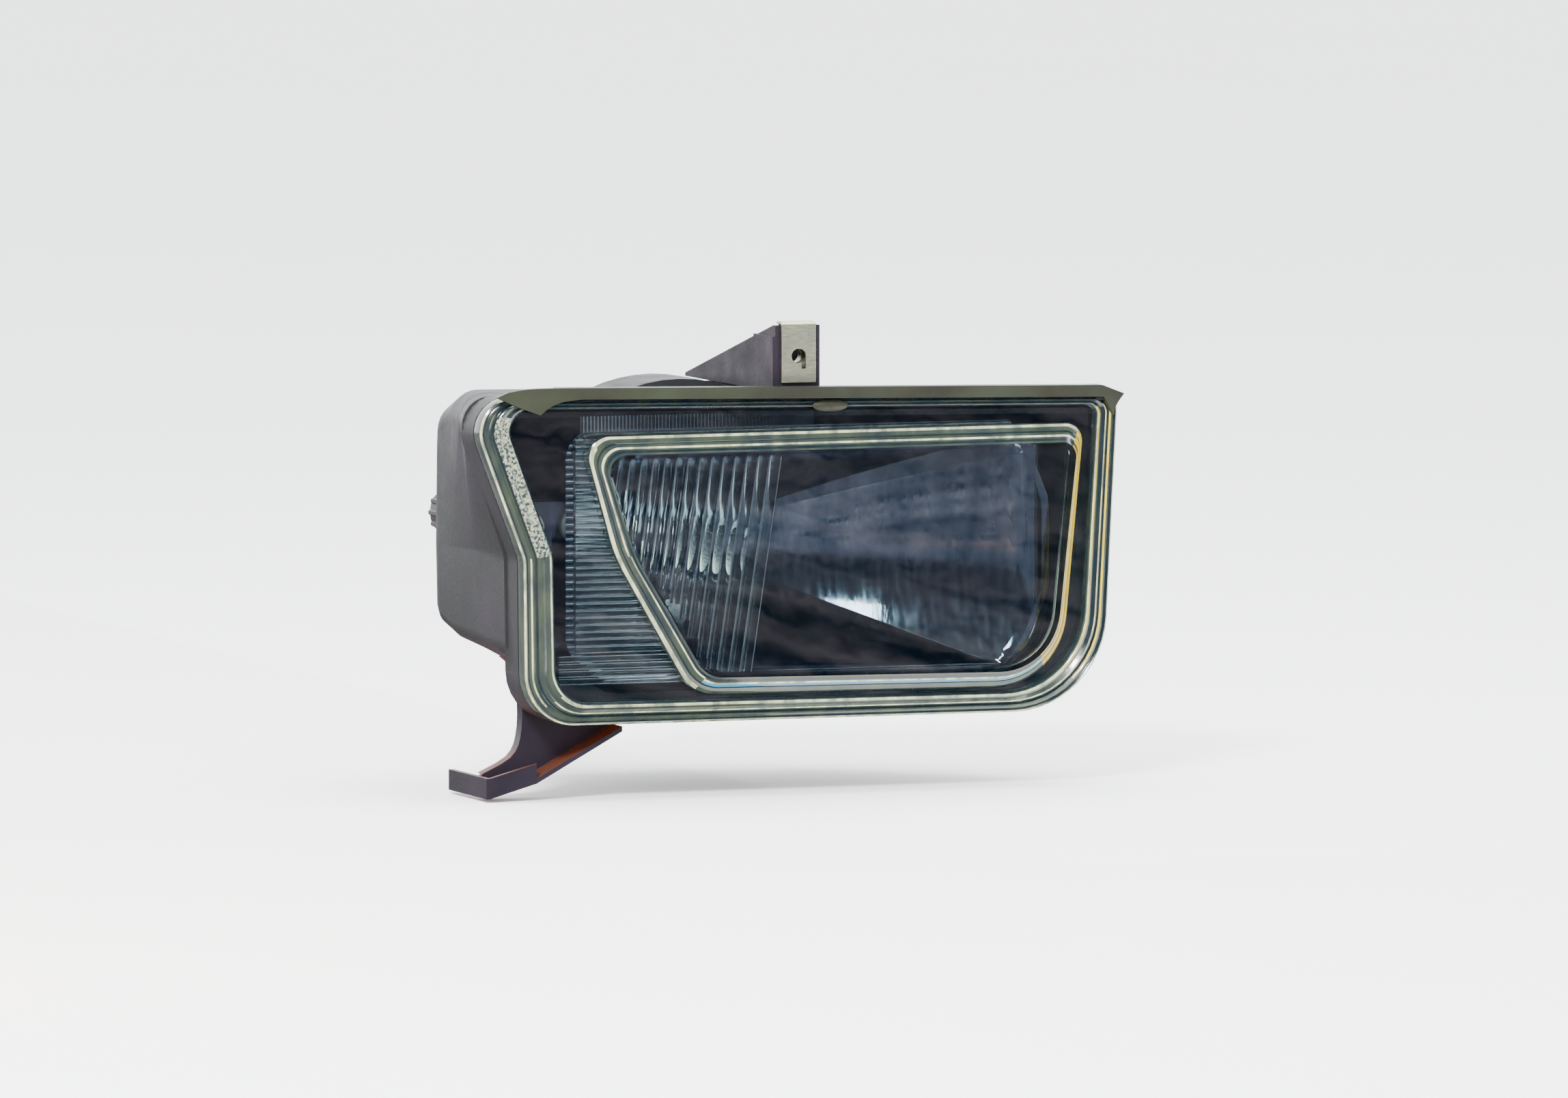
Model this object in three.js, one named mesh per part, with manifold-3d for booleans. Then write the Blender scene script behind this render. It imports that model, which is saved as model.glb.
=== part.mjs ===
// A front fog light: glass lens on a moulded tub, a tilting reflector with its bulb, an aim adjuster,
// a bayonet rear cap and two fixing brackets. Each separate piece is one named mesh. Millimetres.
//
// Lamp frame: X to the right seen from the front, Y back into the car, Z up. X = 0 and Z = 0 are the
// middle of the lens and Y = 0 is the front face of its rim. The whole group is then moved so that the
// origin is on the mounting face of the upper clip nut.

import * as THREE from 'three';
import { mergeVertices } from 'three/addons/utils/BufferGeometryUtils.js';
import Module from 'manifold-3d';

const wasm = await Module();
wasm.setup();

// ---------- driving dimensions ----------

const GAP = 0.3; // between pieces that touch
const CORNER_STEPS = 7; // segments in each rounded corner
const ROUND_STEPS = 60; // segments round the large discs and rings

// Outlines seen from the front, clockwise from the top left: [x, z, corner radius].
const LENS_OUTLINE = [
  [-98.5, 47.7, 10],
  [97, 44.7, 5],
  [92.5, -45, 28],
  [-80.5, -45, 15],
  [-81, 2, 8],
];
const LENS_WELL = [
  [-86.5, 44, 6],
  [90, 41.4, 3],
  [85, -39, 24],
  [-70.5, -38.5, 10],
  [-71.3, 3, 8],
];
const WINDOW_FOOT = [
  [-63, 36, 6],
  [87, 36.5, 5],
  [80, -38, 22],
  [-30.5, -37.5, 12],
  [-53.5, 2, 45],
];
const WINDOW_FACE = [
  [-57, 30.5, 5],
  [84.5, 31, 4],
  [77.5, -33.5, 18],
  [-26.5, -32.5, 9],
  [-47.5, 2, 40],
];
const REFLECTOR_OPENING = [
  [-63, 35, 6],
  [77, 35, 6],
  [77, -32, 14],
  [-52, -32, 6],
  [-63, -24, 6],
];

// Lens
const RIM_DEPTH = 5;
const WELL_Y = 2.2; // front face of the clear zone
const GLASS_BACK_Y = 5;
const WINDOW_FACE_Y = 0.2;
const WINDOW_GLASS = 2.6;
const RIB_START_Z = -26;
const RIB_PITCH = 4;
const RIB_COUNT = 15;
const TRIM_THICKNESS = 2.1;
const SKIRT_END_Y = 11.2;
const SKIRT_INSET = [2, 4.4];

// Housing
const WALL = 2.5;
const FLANGE_Y = [6, 17];
const CHANNEL_INSET = [1.7, 4.7];
const CHANNEL_END_Y = 13.2;
const PAN_INSET = 6.1;
const PAN_FLOOR_Y = 13;
const TUB = [
  {
    y: 15,
    corners: [[-97, 47, 8], [88, 44.4, 8], [86, -40, 24], [-52, -39.5, 6], [-81, -25, 5], [-81.4, 2, 12]],
  },
  {
    y: 40,
    corners: [[-87, 47, 8], [84, 44.6, 10], [80, -40, 22], [-52, -39.5, 8], [-81.5, -24, 5], [-81.9, 2, 12]],
  },
  {
    y: 57,
    corners: [[-82.8, 46, 8], [74, 43.8, 12], [68, -39, 20], [-46, -38, 8], [-82, -22.8, 5], [-82.6, 2, 12]],
  },
  {
    y: 68,
    corners: [[-82.8, 42, 8], [60, 40, 14], [56, -28, 16], [-48, -26, 8], [-82.4, -21, 5], [-82.8, 2, 12]],
  },
  {
    y: 73,
    corners: [[-81.2, 37, 7], [52, 34, 12], [50, -22, 12], [-46, -21, 6], [-81.2, -19, 4], [-81.6, 2, 12]],
  },
];
const TUB_BACK_Y = 73;
const PIVOT_POST = [6, 5]; // half depth and half height of the posts that hold the pivot pins
const BOSS_RADIUS = 7.2; // round the adjuster
const BOSS_Y = [66, 74.6];
const VENT_X = 30;
const VENT_Z = -20;
const VENT_STUB_RADIUS = 4.2;
const VENT_BORE = 2.6;
const VENT_END_Y = 80;

// Optical axis and the round parts about it
const AXIS_X = -17;
const AXIS_Z = 2;
const TURRET_RADIUS = 46;
const TURRET_Y = [50, 78];
const NECK_RADIUS = 33;
const NECK_END_Y = 90;
const NECK_LUG_Y = [85, 87];
const CAP_RADIUS = 38.5;
const CAP_Y = [81, 95.5];
const CAP_WALL = 2.2;
const CAP_LUG_COUNT = 3;
const CAP_SCALLOP_COUNT = 15;

// Reflector
const FOCAL_LENGTH = 24;
const WIDE_SCALE = 1.38; // the bowl is an elliptic paraboloid, wider in X
const VERTEX_Y = 60;
const SHELL = 2.2;
const REFLECTOR_FRONT_Y = 10;
const COLLAR_RADIUS = 13.5;
const COLLAR_END_Y = 67;
const BULB_HOLE_RADIUS = 6.4;

// Tilt pivots and aim adjuster
const PIVOT_Y = 26;
const PIVOT_Z = -21;
const EAR_HALF = 4;
const PIVOT_PIN_RADIUS = 2;
const ADJUSTER_X = -72;
const ADJUSTER_Z = 9.5;
const SCREW_RADIUS = 2.5;
const KNOB_RADIUS = 7.4;
const KNOB_Y = [75.6, 85];
const KNOB_TEETH = 14;

// Bulb and its spring clip
const BULB_FLANGE_Y = COLLAR_END_Y + GAP;
const BULB_BASE_Y = [52, 73];
const CLIP_WIRE = 0.6;
const CLIP_Y = 69.4;
const CLIP_HINGE_X = -30;
const CLIP_TIP_X = -6;
const CLIP_HALF_HEIGHT = 6;
const RIVET_Z = AXIS_Z - 19; // foot of the bulb shield's leg

// Upper bracket and its clip nut
const BRACKET_X = [-5.1, 8.1];
const BRACKET_FRONT_Y = 3;
const BRACKET_BOTTOM_Z = 46.8;
const BRACKET_TOP_Z = 65.6;
const BRACKET_BACK_Y = 78;
const PLATE = 2.4;
const NUT_X = [-3.6, 6.6];
const NUT_SHEET = 0.8;
const NUT_BOTTOM_Z = 49.5;
const NUT_HOLE_Z = 57;
const SCREW_LINE_X = 1.5; // the bracket's middle
const BRACKET_SCREW_Y = [28, 50];
const SCREW_HOLE_RADIUS = 1.75;
const SEAT_TOP_Z = BRACKET_BOTTOM_Z - GAP; // flat on the housing under the bracket
const SEAT_Y = [FLANGE_Y[0], 62];
const MOUNT_POINT = [SCREW_LINE_X, BRACKET_FRONT_Y - GAP - NUT_SHEET, 51];

// Lower bracket
const LEG_Y = FLANGE_Y[1] + GAP;
const LEG_SHEET = 2;
const LEG_FLANGE = 4.6;
const FOOT_Y = [LEG_Y - 9, 41]; // the bottom flange and the foot come forward of the web
const FOOT_SHEET = 1.6;
const RIVETS = [[-70.5, -36], [-58, -41]];
const RIVET_HOLE_Y = 13.8;
const RIVET_HOLE_RADIUS = 1.7;

// Connector socket on the rear face
const SOCKET_X = 40;
const SOCKET_Z = 4;
const SOCKET_HALF = [9, 7];
const SOCKET_CAVITY = [6.9, 4.9];
const SOCKET_Y = [73 + GAP, 91];

// Lead routes inside the housing, from the socket to the bulb
const LIVE_ROUTE = [
  [37, 66, 4],
  [31, 64, 10],
  [12, 68, 15],
  [-6, 79, 20],
  [-26, 85, 14],
  [-29, 87, 5],
  [-24, 86.6, 2],
];
const GROUND_ROUTE = [
  [43, 66, 4],
  [40, 61, -5],
  [26, 68, -14],
  [8, 73, -18],
  [-5, 74, -14],
];

// ---------- materials ----------

function plastic(colour, roughness = 0.6) {
  return new THREE.MeshStandardMaterial({ color: colour, roughness, metalness: 0 });
}

function metal(colour, roughness = 0.35) {
  return new THREE.MeshStandardMaterial({ color: colour, roughness, metalness: 1 });
}

const darkMoulding = plastic(0x55525c, 0.6);
const darkTrim = plastic(0x6a6e6a, 0.5);
const blackPlastic = plastic(0x26262a, 0.65);
const whiteNylon = plastic(0xd8d6cc, 0.5);
const softRubber = plastic(0x1b1b1d, 0.85);
const lampGlass = plastic(0xcfe0e2, 0.05);
const bulbGlass = plastic(0xf2f6f8, 0.03);
const mirrorCoat = metal(0xd8dce2, 0.08);
const zincSteel = metal(0xbab68c, 0.4);
const brightSteel = metal(0xb4b6ba, 0.3);
const brass = metal(0xb99a50, 0.35);
const redWire = plastic(0x9c2a22, 0.6);
const blackWire = plastic(0x222226, 0.6);

// ---------- shape helpers ----------

/** Closed manifold solid from a three.js geometry. */
function solid(geometry) {
  const bare = geometry.clone();
  bare.deleteAttribute('normal');
  bare.deleteAttribute('uv');
  const merged = mergeVertices(bare, 1e-4);
  const vertProperties = new Float32Array(merged.attributes.position.array);
  const triVerts = new Uint32Array(merged.index.array);
  return new wasm.Manifold(new wasm.Mesh({ numProp: 3, vertProperties, triVerts }));
}

/** Flat-shaded three.js geometry from a manifold solid. */
function geometryOf(body) {
  const mesh = body.getMesh();
  const geometry = new THREE.BufferGeometry();
  const positions = new Float32Array(mesh.numVert * 3);
  for (let vertex = 0; vertex < mesh.numVert; vertex += 1) {
    for (let k = 0; k < 3; k += 1) {
      positions[vertex * 3 + k] = mesh.vertProperties[vertex * mesh.numProp + k];
    }
  }
  geometry.setAttribute('position', new THREE.BufferAttribute(positions, 3));
  geometry.setIndex(new THREE.BufferAttribute(new Uint32Array(mesh.triVerts), 1));
  const flat = geometry.toNonIndexed();
  flat.computeVertexNormals();
  return flat;
}

const join = (...bodies) => bodies.reduce((sum, body) => sum.add(body));
const cut = (body, ...tools) => tools.reduce((rest, tool) => rest.subtract(tool), body);

/** Corner i of a closed outline, counted round its ends. */
function cornerAt(corners, i) {
  const [x, z] = corners[(i + corners.length) % corners.length];
  return new THREE.Vector2(x, z);
}

/** Points of an outline whose corners are arcs. */
function rounded(corners, steps = CORNER_STEPS) {
  return corners.flatMap(([, , radius], i) => {
    const corner = cornerAt(corners, i);
    const before = cornerAt(corners, i - 1).sub(corner).normalize();
    const after = cornerAt(corners, i + 1).sub(corner).normalize();
    const half = before.angleTo(after) / 2;
    const middle = before.clone().add(after).normalize();
    const centre = middle.multiplyScalar(radius / Math.sin(half)).add(corner);
    const start = before.clone().multiplyScalar(radius / Math.tan(half)).add(corner);
    const sweep = -Math.sign(before.cross(after)) * (Math.PI - 2 * half);
    return Array.from({ length: steps + 1 }, (_, k) => {
      return start.clone().rotateAround(centre, (sweep * k) / steps);
    });
  });
}

/** The same outline moved inwards by a distance, or outwards if it is negative. */
function inset(corners, distance) {
  return corners.map(([, , radius], i) => {
    const corner = cornerAt(corners, i);
    const before = cornerAt(corners, i - 1).sub(corner).normalize();
    const after = cornerAt(corners, i + 1).sub(corner).normalize();
    const turn = Math.sign(before.cross(after));
    const half = before.angleTo(after) / 2;
    const middle = before.add(after).normalize();
    const moved = middle.multiplyScalar((turn * distance) / Math.sin(half)).add(corner);
    return [moved.x, moved.y, Math.max(radius - turn * distance, 0.4)];
  });
}

/** Solid through closed sections [{ y, points }] that have the same number of points. */
function loft(sections) {
  const count = sections[0].points.length;
  const positions = sections.flatMap(({ y, points }) => points.flatMap((p) => [p.x, y, p.y]));
  const index = [];
  for (let s = 0; s < sections.length - 1; s += 1) {
    for (let i = 0; i < count; i += 1) {
      const a = s * count + i;
      const b = s * count + ((i + 1) % count);
      index.push(a, b, a + count, b, b + count, a + count);
    }
  }
  const last = (sections.length - 1) * count;
  for (const [a, b, c] of THREE.ShapeUtils.triangulateShape(sections[0].points, [])) {
    index.push(a, b, c);
  }
  for (const [a, b, c] of THREE.ShapeUtils.triangulateShape(sections.at(-1).points, [])) {
    index.push(last + a, last + c, last + b);
  }
  const geometry = new THREE.BufferGeometry();
  geometry.setAttribute('position', new THREE.Float32BufferAttribute(positions, 3));
  geometry.setIndex(index);
  return solid(geometry);
}

/** Solid between two Y planes with a rounded outline. */
function slab(corners, y0, y1) {
  const points = rounded(corners);
  return loft([{ y: y0, points }, { y: y1, points }]);
}

/** Wall of a slab between two insets of one outline. */
function band(corners, [outer, inner], y0, y1) {
  return slab(inset(corners, outer), y0, y1).subtract(slab(inset(corners, inner), y0 - 1, y1 + 1));
}

/** Points of a smooth curve through a few [a, b] points. */
function smooth(points, steps) {
  const curve = new THREE.SplineCurve(points.map(([a, b]) => new THREE.Vector2(a, b)));
  return curve.getPoints(steps).map((p) => [p.x, p.y]);
}

const BASES = {
  x: new THREE.Matrix4().makeBasis(
    new THREE.Vector3(0, 1, 0),
    new THREE.Vector3(0, 0, 1),
    new THREE.Vector3(1, 0, 0),
  ),
  y: new THREE.Matrix4().makeBasis(
    new THREE.Vector3(1, 0, 0),
    new THREE.Vector3(0, 0, -1),
    new THREE.Vector3(0, 1, 0),
  ),
};

/** Prism along X of an outline given as [y, z] points. */
function prismX(points, x0, x1) {
  const shape = new THREE.Shape(points.map(([y, z]) => new THREE.Vector2(y, z)));
  const geometry = new THREE.ExtrudeGeometry(shape, { depth: x1 - x0, bevelEnabled: false });
  geometry.translate(0, 0, x0);
  return solid(geometry.applyMatrix4(BASES.x));
}

/** Prism along Y of an outline given as [x, z] points. */
function prismY(points, y0, y1) {
  const shape = new THREE.Shape(points.map(([x, z]) => new THREE.Vector2(x, -z)));
  const geometry = new THREE.ExtrudeGeometry(shape, { depth: y1 - y0, bevelEnabled: false });
  geometry.translate(0, 0, y0);
  return solid(geometry.applyMatrix4(BASES.y));
}

function box([x0, x1], [y0, y1], [z0, z1]) {
  const geometry = new THREE.BoxGeometry(x1 - x0, y1 - y0, z1 - z0);
  geometry.translate((x0 + x1) / 2, (y0 + y1) / 2, (z0 + z1) / 2);
  return solid(geometry);
}

/** Round bar from one point to another. */
function bar(from, to, radius, segments = 20) {
  const start = new THREE.Vector3(...from);
  const along = new THREE.Vector3(...to).sub(start);
  const geometry = new THREE.CylinderGeometry(radius, radius, along.length(), segments);
  geometry.translate(0, along.length() / 2, 0);
  const turn = new THREE.Quaternion().setFromUnitVectors(
    new THREE.Vector3(0, 1, 0),
    along.clone().normalize(),
  );
  geometry.applyQuaternion(turn);
  geometry.translate(start.x, start.y, start.z);
  return solid(geometry);
}

/** Solid of revolution about an axis along Y; the profile is [radius, y] points. */
function turned(profile, x, z, segments = ROUND_STEPS) {
  const points = profile.map(([radius, y]) => new THREE.Vector2(radius, y));
  const geometry = new THREE.LatheGeometry(points, segments);
  geometry.translate(x, 0, z);
  const body = solid(geometry);
  if (body.volume() > 0) return body;
  geometry.setIndex(Array.from(geometry.index.array).reverse());
  return solid(geometry);
}

const disc = (radius, [y0, y1], x = AXIS_X, z = AXIS_Z, segments = ROUND_STEPS) =>
  turned([[0, y0], [radius, y0], [radius, y1], [0, y1]], x, z, segments);

const ring = ([outer, inner], [y0, y1], x = AXIS_X, z = AXIS_Z, segments = ROUND_STEPS) =>
  disc(outer, [y0, y1], x, z, segments).subtract(disc(inner, [y0 - 1, y1 + 1], x, z, segments));

/** Bent round wire through a list of points. */
function wire(points, radius, steps = 24) {
  const places = points.map((p) => new THREE.Vector3(...p));
  const extrudePath = new THREE.CatmullRomCurve3(places, false, 'centripetal');
  const shape = new THREE.Shape().absarc(0, 0, radius, 0, Math.PI * 2, false);
  const options = { steps, curveSegments: 3, bevelEnabled: false, extrudePath };
  return solid(new THREE.ExtrudeGeometry(shape, options));
}

/** Copies of a body turned about the optical axis. */
function aroundAxis(count, makeBody) {
  return Array.from({ length: count }, (_, k) => {
    const away = makeBody().translate([-AXIS_X, 0, -AXIS_Z]);
    return away.rotate([0, (360 * k) / count, 0]).translate([AXIS_X, 0, AXIS_Z]);
  });
}

const lamp = new THREE.Group();

/** Adds one named piece to the lamp. */
function addPiece(name, body, material) {
  const mesh = new THREE.Mesh(geometryOf(body), material);
  mesh.name = name;
  lamp.add(mesh);
}

// ---------- lens, its seal and the trim above it ----------

/** Height of the lens's sloping top edge. */
function lensTop(x) {
  const [[x0, z0], [x1, z1]] = LENS_OUTLINE;
  return z0 + ((z1 - z0) * (x - x0)) / (x1 - x0);
}

/** One horizontal rib on the back of the clear zone, from its left end to the bezel. */
function lensRib(z) {
  const right = z > 2 ? -56 + (2 - z) * 0.2 : -54 + (2 - z) * 0.55; // the bezel is bent at z = 2
  const profile = [
    [GLASS_BACK_Y - 0.5, z - 1.6],
    [GLASS_BACK_Y + 0.7, z],
    [GLASS_BACK_Y - 0.5, z + 1.6],
  ];
  return prismX(profile, -68, right);
}

function makeLens() {
  const rim = band(LENS_OUTLINE, [0, 6], 0, RIM_DEPTH);
  const step = slab(inset(LENS_OUTLINE, 5), 1, GLASS_BACK_Y);
  const well = slab(LENS_WELL, -1, WELL_Y);
  const skirt = band(LENS_OUTLINE, SKIRT_INSET, RIM_DEPTH - 1, SKIRT_END_Y);
  const plateau = loft([
    { y: WELL_Y + 1, points: rounded(WINDOW_FOOT) },
    { y: WELL_Y, points: rounded(WINDOW_FOOT) },
    { y: WINDOW_FACE_Y, points: rounded(WINDOW_FACE) },
  ]);
  const pocket = slab(inset(WINDOW_FACE, 1), WINDOW_FACE_Y + WINDOW_GLASS, GLASS_BACK_Y + 1);
  const ribs = Array.from({ length: RIB_COUNT }, (_, k) => lensRib(RIB_START_Z + RIB_PITCH * k));
  return join(cut(join(rim, step), well), skirt, plateau, ...ribs).subtract(pocket);
}

function makeLensSeal() {
  const [outer, inner] = CHANNEL_INSET;
  return band(LENS_OUTLINE, [outer + GAP, inner - GAP], SKIRT_END_Y + GAP, CHANNEL_END_Y - GAP);
}

function makeTopTrim() {
  const face = [
    [-89.3, 47.6],
    ...smooth([[-86, 49], [-80, 49.8], [-70, 49.9]], 6),
    [91, 47.1],
    [97.5, 44.6],
    ...smooth([[95.8, 42.4], [94.7, 40.4], [94.4, 38.6]], 4),
    [91.3, 43.8],
    ...smooth([[-64, 46.6], [-70, 46], [-74, 44.4], [-76.5, 42.4]], 8),
    [-83.6, 45],
  ];
  const shelf = [
    [-71, lensTop(-71) + GAP],
    [-71, 49.9],
    [91, 47.1],
    [93, lensTop(93) + GAP],
  ];
  return join(
    prismY(face, -TRIM_THICKNESS - GAP, -GAP),
    prismY(shelf, -1, BRACKET_FRONT_Y - GAP),
  );
}

function makeTrimClip() {
  const oval = turned([[0, -1.6], [3, -1.4], [5.6, -GAP - 0.1], [0, -GAP - 0.1]], 0, 0, 20);
  return oval.scale([1, 1, 0.32]).translate([10, 0, 43.1]);
}

// ---------- housing ----------

function tubSections(insetBy, backY) {
  return TUB.map(({ y, corners }) => ({
    y: Math.min(y, backY),
    points: rounded(inset(corners, insetBy)),
  }));
}

function turretShape(radius, frontY, backY) {
  const chamfer = 4;
  const profile = [
    [0, frontY],
    [radius, frontY],
    [radius, backY - chamfer],
    [radius - chamfer, backY],
    [0, backY],
  ];
  return turned(profile, AXIS_X, AXIS_Z);
}

function neckLug() {
  const outer = ring([NECK_RADIUS + 2, NECK_RADIUS - 1], NECK_LUG_Y);
  return outer.intersect(box([AXIS_X - 8, AXIS_X + 8], NECK_LUG_Y, [AXIS_Z, AXIS_Z + 60]));
}

function housingOutside() {
  const adjusterBoss = disc(BOSS_RADIUS, BOSS_Y, ADJUSTER_X, ADJUSTER_Z, 24);
  return join(
    slab(inset(LENS_OUTLINE, GAP), ...FLANGE_Y),
    loft(tubSections(0, TUB_BACK_Y)),
    turretShape(TURRET_RADIUS, ...TURRET_Y),
    disc(NECK_RADIUS, [TURRET_Y[1] - 1, NECK_END_Y]),
    adjusterBoss,
    bar([VENT_X, BOSS_Y[0], VENT_Z], [VENT_X, VENT_END_Y, VENT_Z], VENT_STUB_RADIUS),
    box([BRACKET_X[0] + 0.5, BRACKET_X[1] - 0.5], SEAT_Y, [40, SEAT_TOP_Z]),
    ...aroundAxis(CAP_LUG_COUNT, neckLug),
  );
}

function housingHollow() {
  const [frontSection, ...sections] = tubSections(WALL, TUB_BACK_Y - WALL);
  const tub = loft([{ ...frontSection, y: frontSection.y - 2 }, ...sections]);
  const turret = turretShape(TURRET_RADIUS - WALL, TURRET_Y[0] - 4, TURRET_Y[1] - WALL);
  const bore = disc(NECK_RADIUS - WALL, [TURRET_Y[1] - 8, NECK_END_Y + 1]);
  const boss = disc(BOSS_RADIUS, BOSS_Y, ADJUSTER_X, ADJUSTER_Z, 24);
  return cut(join(tub, turret, bore), boss);
}

/** Posts inside the two side walls that hold the reflector's pivot pins. */
function pivotPosts() {
  const [halfY, halfZ] = PIVOT_POST;
  const y = [PIVOT_Y - halfY, PIVOT_Y + halfY];
  const z = [PIVOT_Z - halfZ, PIVOT_Z + halfZ];
  const left = box([-90, -74.6], y, z);
  const right = box([77, 95], y, z);
  return join(left, right).intersect(loft(tubSections(0, TUB_BACK_Y)));
}

function makeHousing() {
  const channel = band(LENS_OUTLINE, CHANNEL_INSET, FLANGE_Y[0] - 1, CHANNEL_END_Y);
  const pan = slab(inset(LENS_OUTLINE, PAN_INSET), FLANGE_Y[0] - 1, PAN_FLOOR_Y);
  const shell = cut(housingOutside(), channel, pan, housingHollow());
  const pinHole = bar([-79, PIVOT_Y, PIVOT_Z], [81.5, PIVOT_Y, PIVOT_Z], PIVOT_PIN_RADIUS + 0.2);
  const bushHole = disc(5.4, [60, 80], ADJUSTER_X, ADJUSTER_Z, 24);
  const ventHole = bar([VENT_X, 60, VENT_Z], [VENT_X, 90, VENT_Z], VENT_BORE);
  const socketHole = box([SOCKET_X - 5.2, SOCKET_X + 5.2], [65, 80], [SOCKET_Z - 3.2, SOCKET_Z + 3.2]);
  const bracketHoles = BRACKET_SCREW_Y.map((y) => screwHole(y));
  const rivetHoles = RIVETS.map(([x, z]) => bar([x, RIVET_HOLE_Y, z], [x, 20, z], RIVET_HOLE_RADIUS));
  const holes = [pinHole, bushHole, ventHole, socketHole, ...bracketHoles, ...rivetHoles];
  return cut(join(shell, pivotPosts()), ...holes);
}

// ---------- upper bracket ----------

/** Hole for one of the bracket's screws, through its floor and the housing's top wall. */
function screwHole(y) {
  return bar([SCREW_LINE_X, y, 40], [SCREW_LINE_X, y, 50], SCREW_HOLE_RADIUS);
}

function makeUpperBracket() {
  const [left, right] = BRACKET_X;
  const web = [
    [BRACKET_FRONT_Y, BRACKET_BOTTOM_Z],
    [BRACKET_FRONT_Y, BRACKET_TOP_Z],
    [BRACKET_FRONT_Y + 2, BRACKET_TOP_Z],
    [BRACKET_BACK_Y, BRACKET_BOTTOM_Z + 1],
    [BRACKET_BACK_Y, BRACKET_BOTTOM_Z],
  ];
  const height = [BRACKET_BOTTOM_Z, BRACKET_TOP_Z];
  const body = join(
    prismX(web, left, left + 1.8),
    prismX(web, right - 1.8, right),
    box([left, right], [BRACKET_FRONT_Y, BRACKET_FRONT_Y + PLATE], height), // plate that carries the nut
    box([left, right], [BRACKET_FRONT_Y, SEAT_Y[1]], [BRACKET_BOTTOM_Z, BRACKET_BOTTOM_Z + 2]), // floor
    box([left, right], [19, 21], [BRACKET_BOTTOM_Z, 58]), // stiffener
    box([left - 0.8, left + 1], [BRACKET_FRONT_Y, 19], [BRACKET_BOTTOM_Z, 62.5]), // left web's front edge
  );
  const nutHole = bar([SCREW_LINE_X, 0, NUT_HOLE_Z], [SCREW_LINE_X, 8, NUT_HOLE_Z], 3.8);
  return cut(body, nutHole, ...BRACKET_SCREW_Y.map((y) => screwHole(y)));
}

function makeUpperClipNut() {
  const frontY = MOUNT_POINT[1];
  const backY = BRACKET_FRONT_Y + PLATE + GAP;
  const top = BRACKET_TOP_Z + GAP;
  const profile = [
    [frontY, NUT_BOTTOM_Z],
    [frontY, top],
    [frontY + NUT_SHEET, top + NUT_SHEET],
    [backY, top + NUT_SHEET],
    [backY + NUT_SHEET, top],
    [backY + NUT_SHEET, 51],
    [backY, 51],
    [backY, top],
    [frontY + NUT_SHEET, top],
    [frontY + NUT_SHEET, NUT_BOTTOM_Z],
  ];
  const barrel = bar([SCREW_LINE_X, backY + 0.2, NUT_HOLE_Z], [SCREW_LINE_X, backY + 3, NUT_HOLE_Z], 3.3);
  const thread = bar([SCREW_LINE_X, -2, NUT_HOLE_Z], [SCREW_LINE_X, 12, NUT_HOLE_Z], 2.1);
  const slitX = [SCREW_LINE_X + 0.9, SCREW_LINE_X + 2.1];
  const slit = box(slitX, [-2, backY - 1], [NUT_HOLE_Z - 3.6, NUT_HOLE_Z]);
  const [left, right] = BRACKET_X;
  const narrow = join(
    box([left, left + 2.1], [frontY + 1, 12], [40, top]),
    box([right - 2.1, right], [frontY + 1, 12], [40, top]),
  );
  return cut(join(cut(prismX(profile, ...NUT_X), narrow), barrel), thread, slit);
}

/** Screw down through the bracket's floor. */
function makeScrew(y) {
  const seat = BRACKET_BOTTOM_Z + 2;
  const head = bar([SCREW_LINE_X, y, seat + GAP], [SCREW_LINE_X, y, seat + 2.4], 3, 6);
  return join(head, bar([SCREW_LINE_X, y, 42.5], [SCREW_LINE_X, y, seat + 1], 1.5, 12));
}

// ---------- lower bracket ----------

function makeLowerBracket() {
  const edgePoints = [
    [-81, -26.2],
    [-77, -30.2],
    [-75.4, -38],
    [-75.6, -48],
    [-78.4, -54.4],
    [-87, -59],
  ];
  const edge = smooth(edgePoints, 16);
  const edgeFlange = [...edge, ...edge.map(([x, z]) => [x + 1.5, z - 0.6]).reverse()];
  const web = [
    ...edge,
    [-87.9, -60],
    [-87.9, -65.4],
    [-74, -61.4],
    [-48.7, -47.5],
    [-48.7, -42],
    [-54, -40.2],
  ];
  const bottomFlange = [
    [-87.9, -65.4],
    [-74, -61.4],
    [-48.7, -47.5],
    [-48.7, -46],
    [-74, -59.9],
    [-87.9, -63.9],
  ];
  const footWall = [
    [-87.9, -59.6],
    [-87.9, -65.4],
    [-74, -61.4],
    [-74, -55.8],
  ];
  const flangeBack = LEG_Y + LEG_FLANGE;
  const body = join(
    prismY(web, LEG_Y, LEG_Y + LEG_SHEET),
    prismY(edgeFlange, LEG_Y, flangeBack),
    prismY(bottomFlange, FOOT_Y[0], flangeBack),
    prismY(footWall, FOOT_Y[0], FOOT_Y[0] + FOOT_SHEET),
    box([-88.9, -87.3], FOOT_Y, [-65.4, -59.6]), // foot tab
  );
  return cut(body, ...RIVETS.map(([x, z]) => bar([x, 14, z], [x, 20, z], RIVET_HOLE_RADIUS)));
}

function makeRivet([x, z]) {
  const head = LEG_Y + LEG_SHEET + GAP;
  const tip = RIVET_HOLE_Y + GAP;
  const profile = [
    [0, tip],
    [1.45, tip],
    [1.45, head],
    [3, head],
    [2.4, head + 1.4],
    [0, head + 1.6],
  ];
  return turned(profile, x, z, 16);
}

// ---------- reflector ----------

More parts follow.
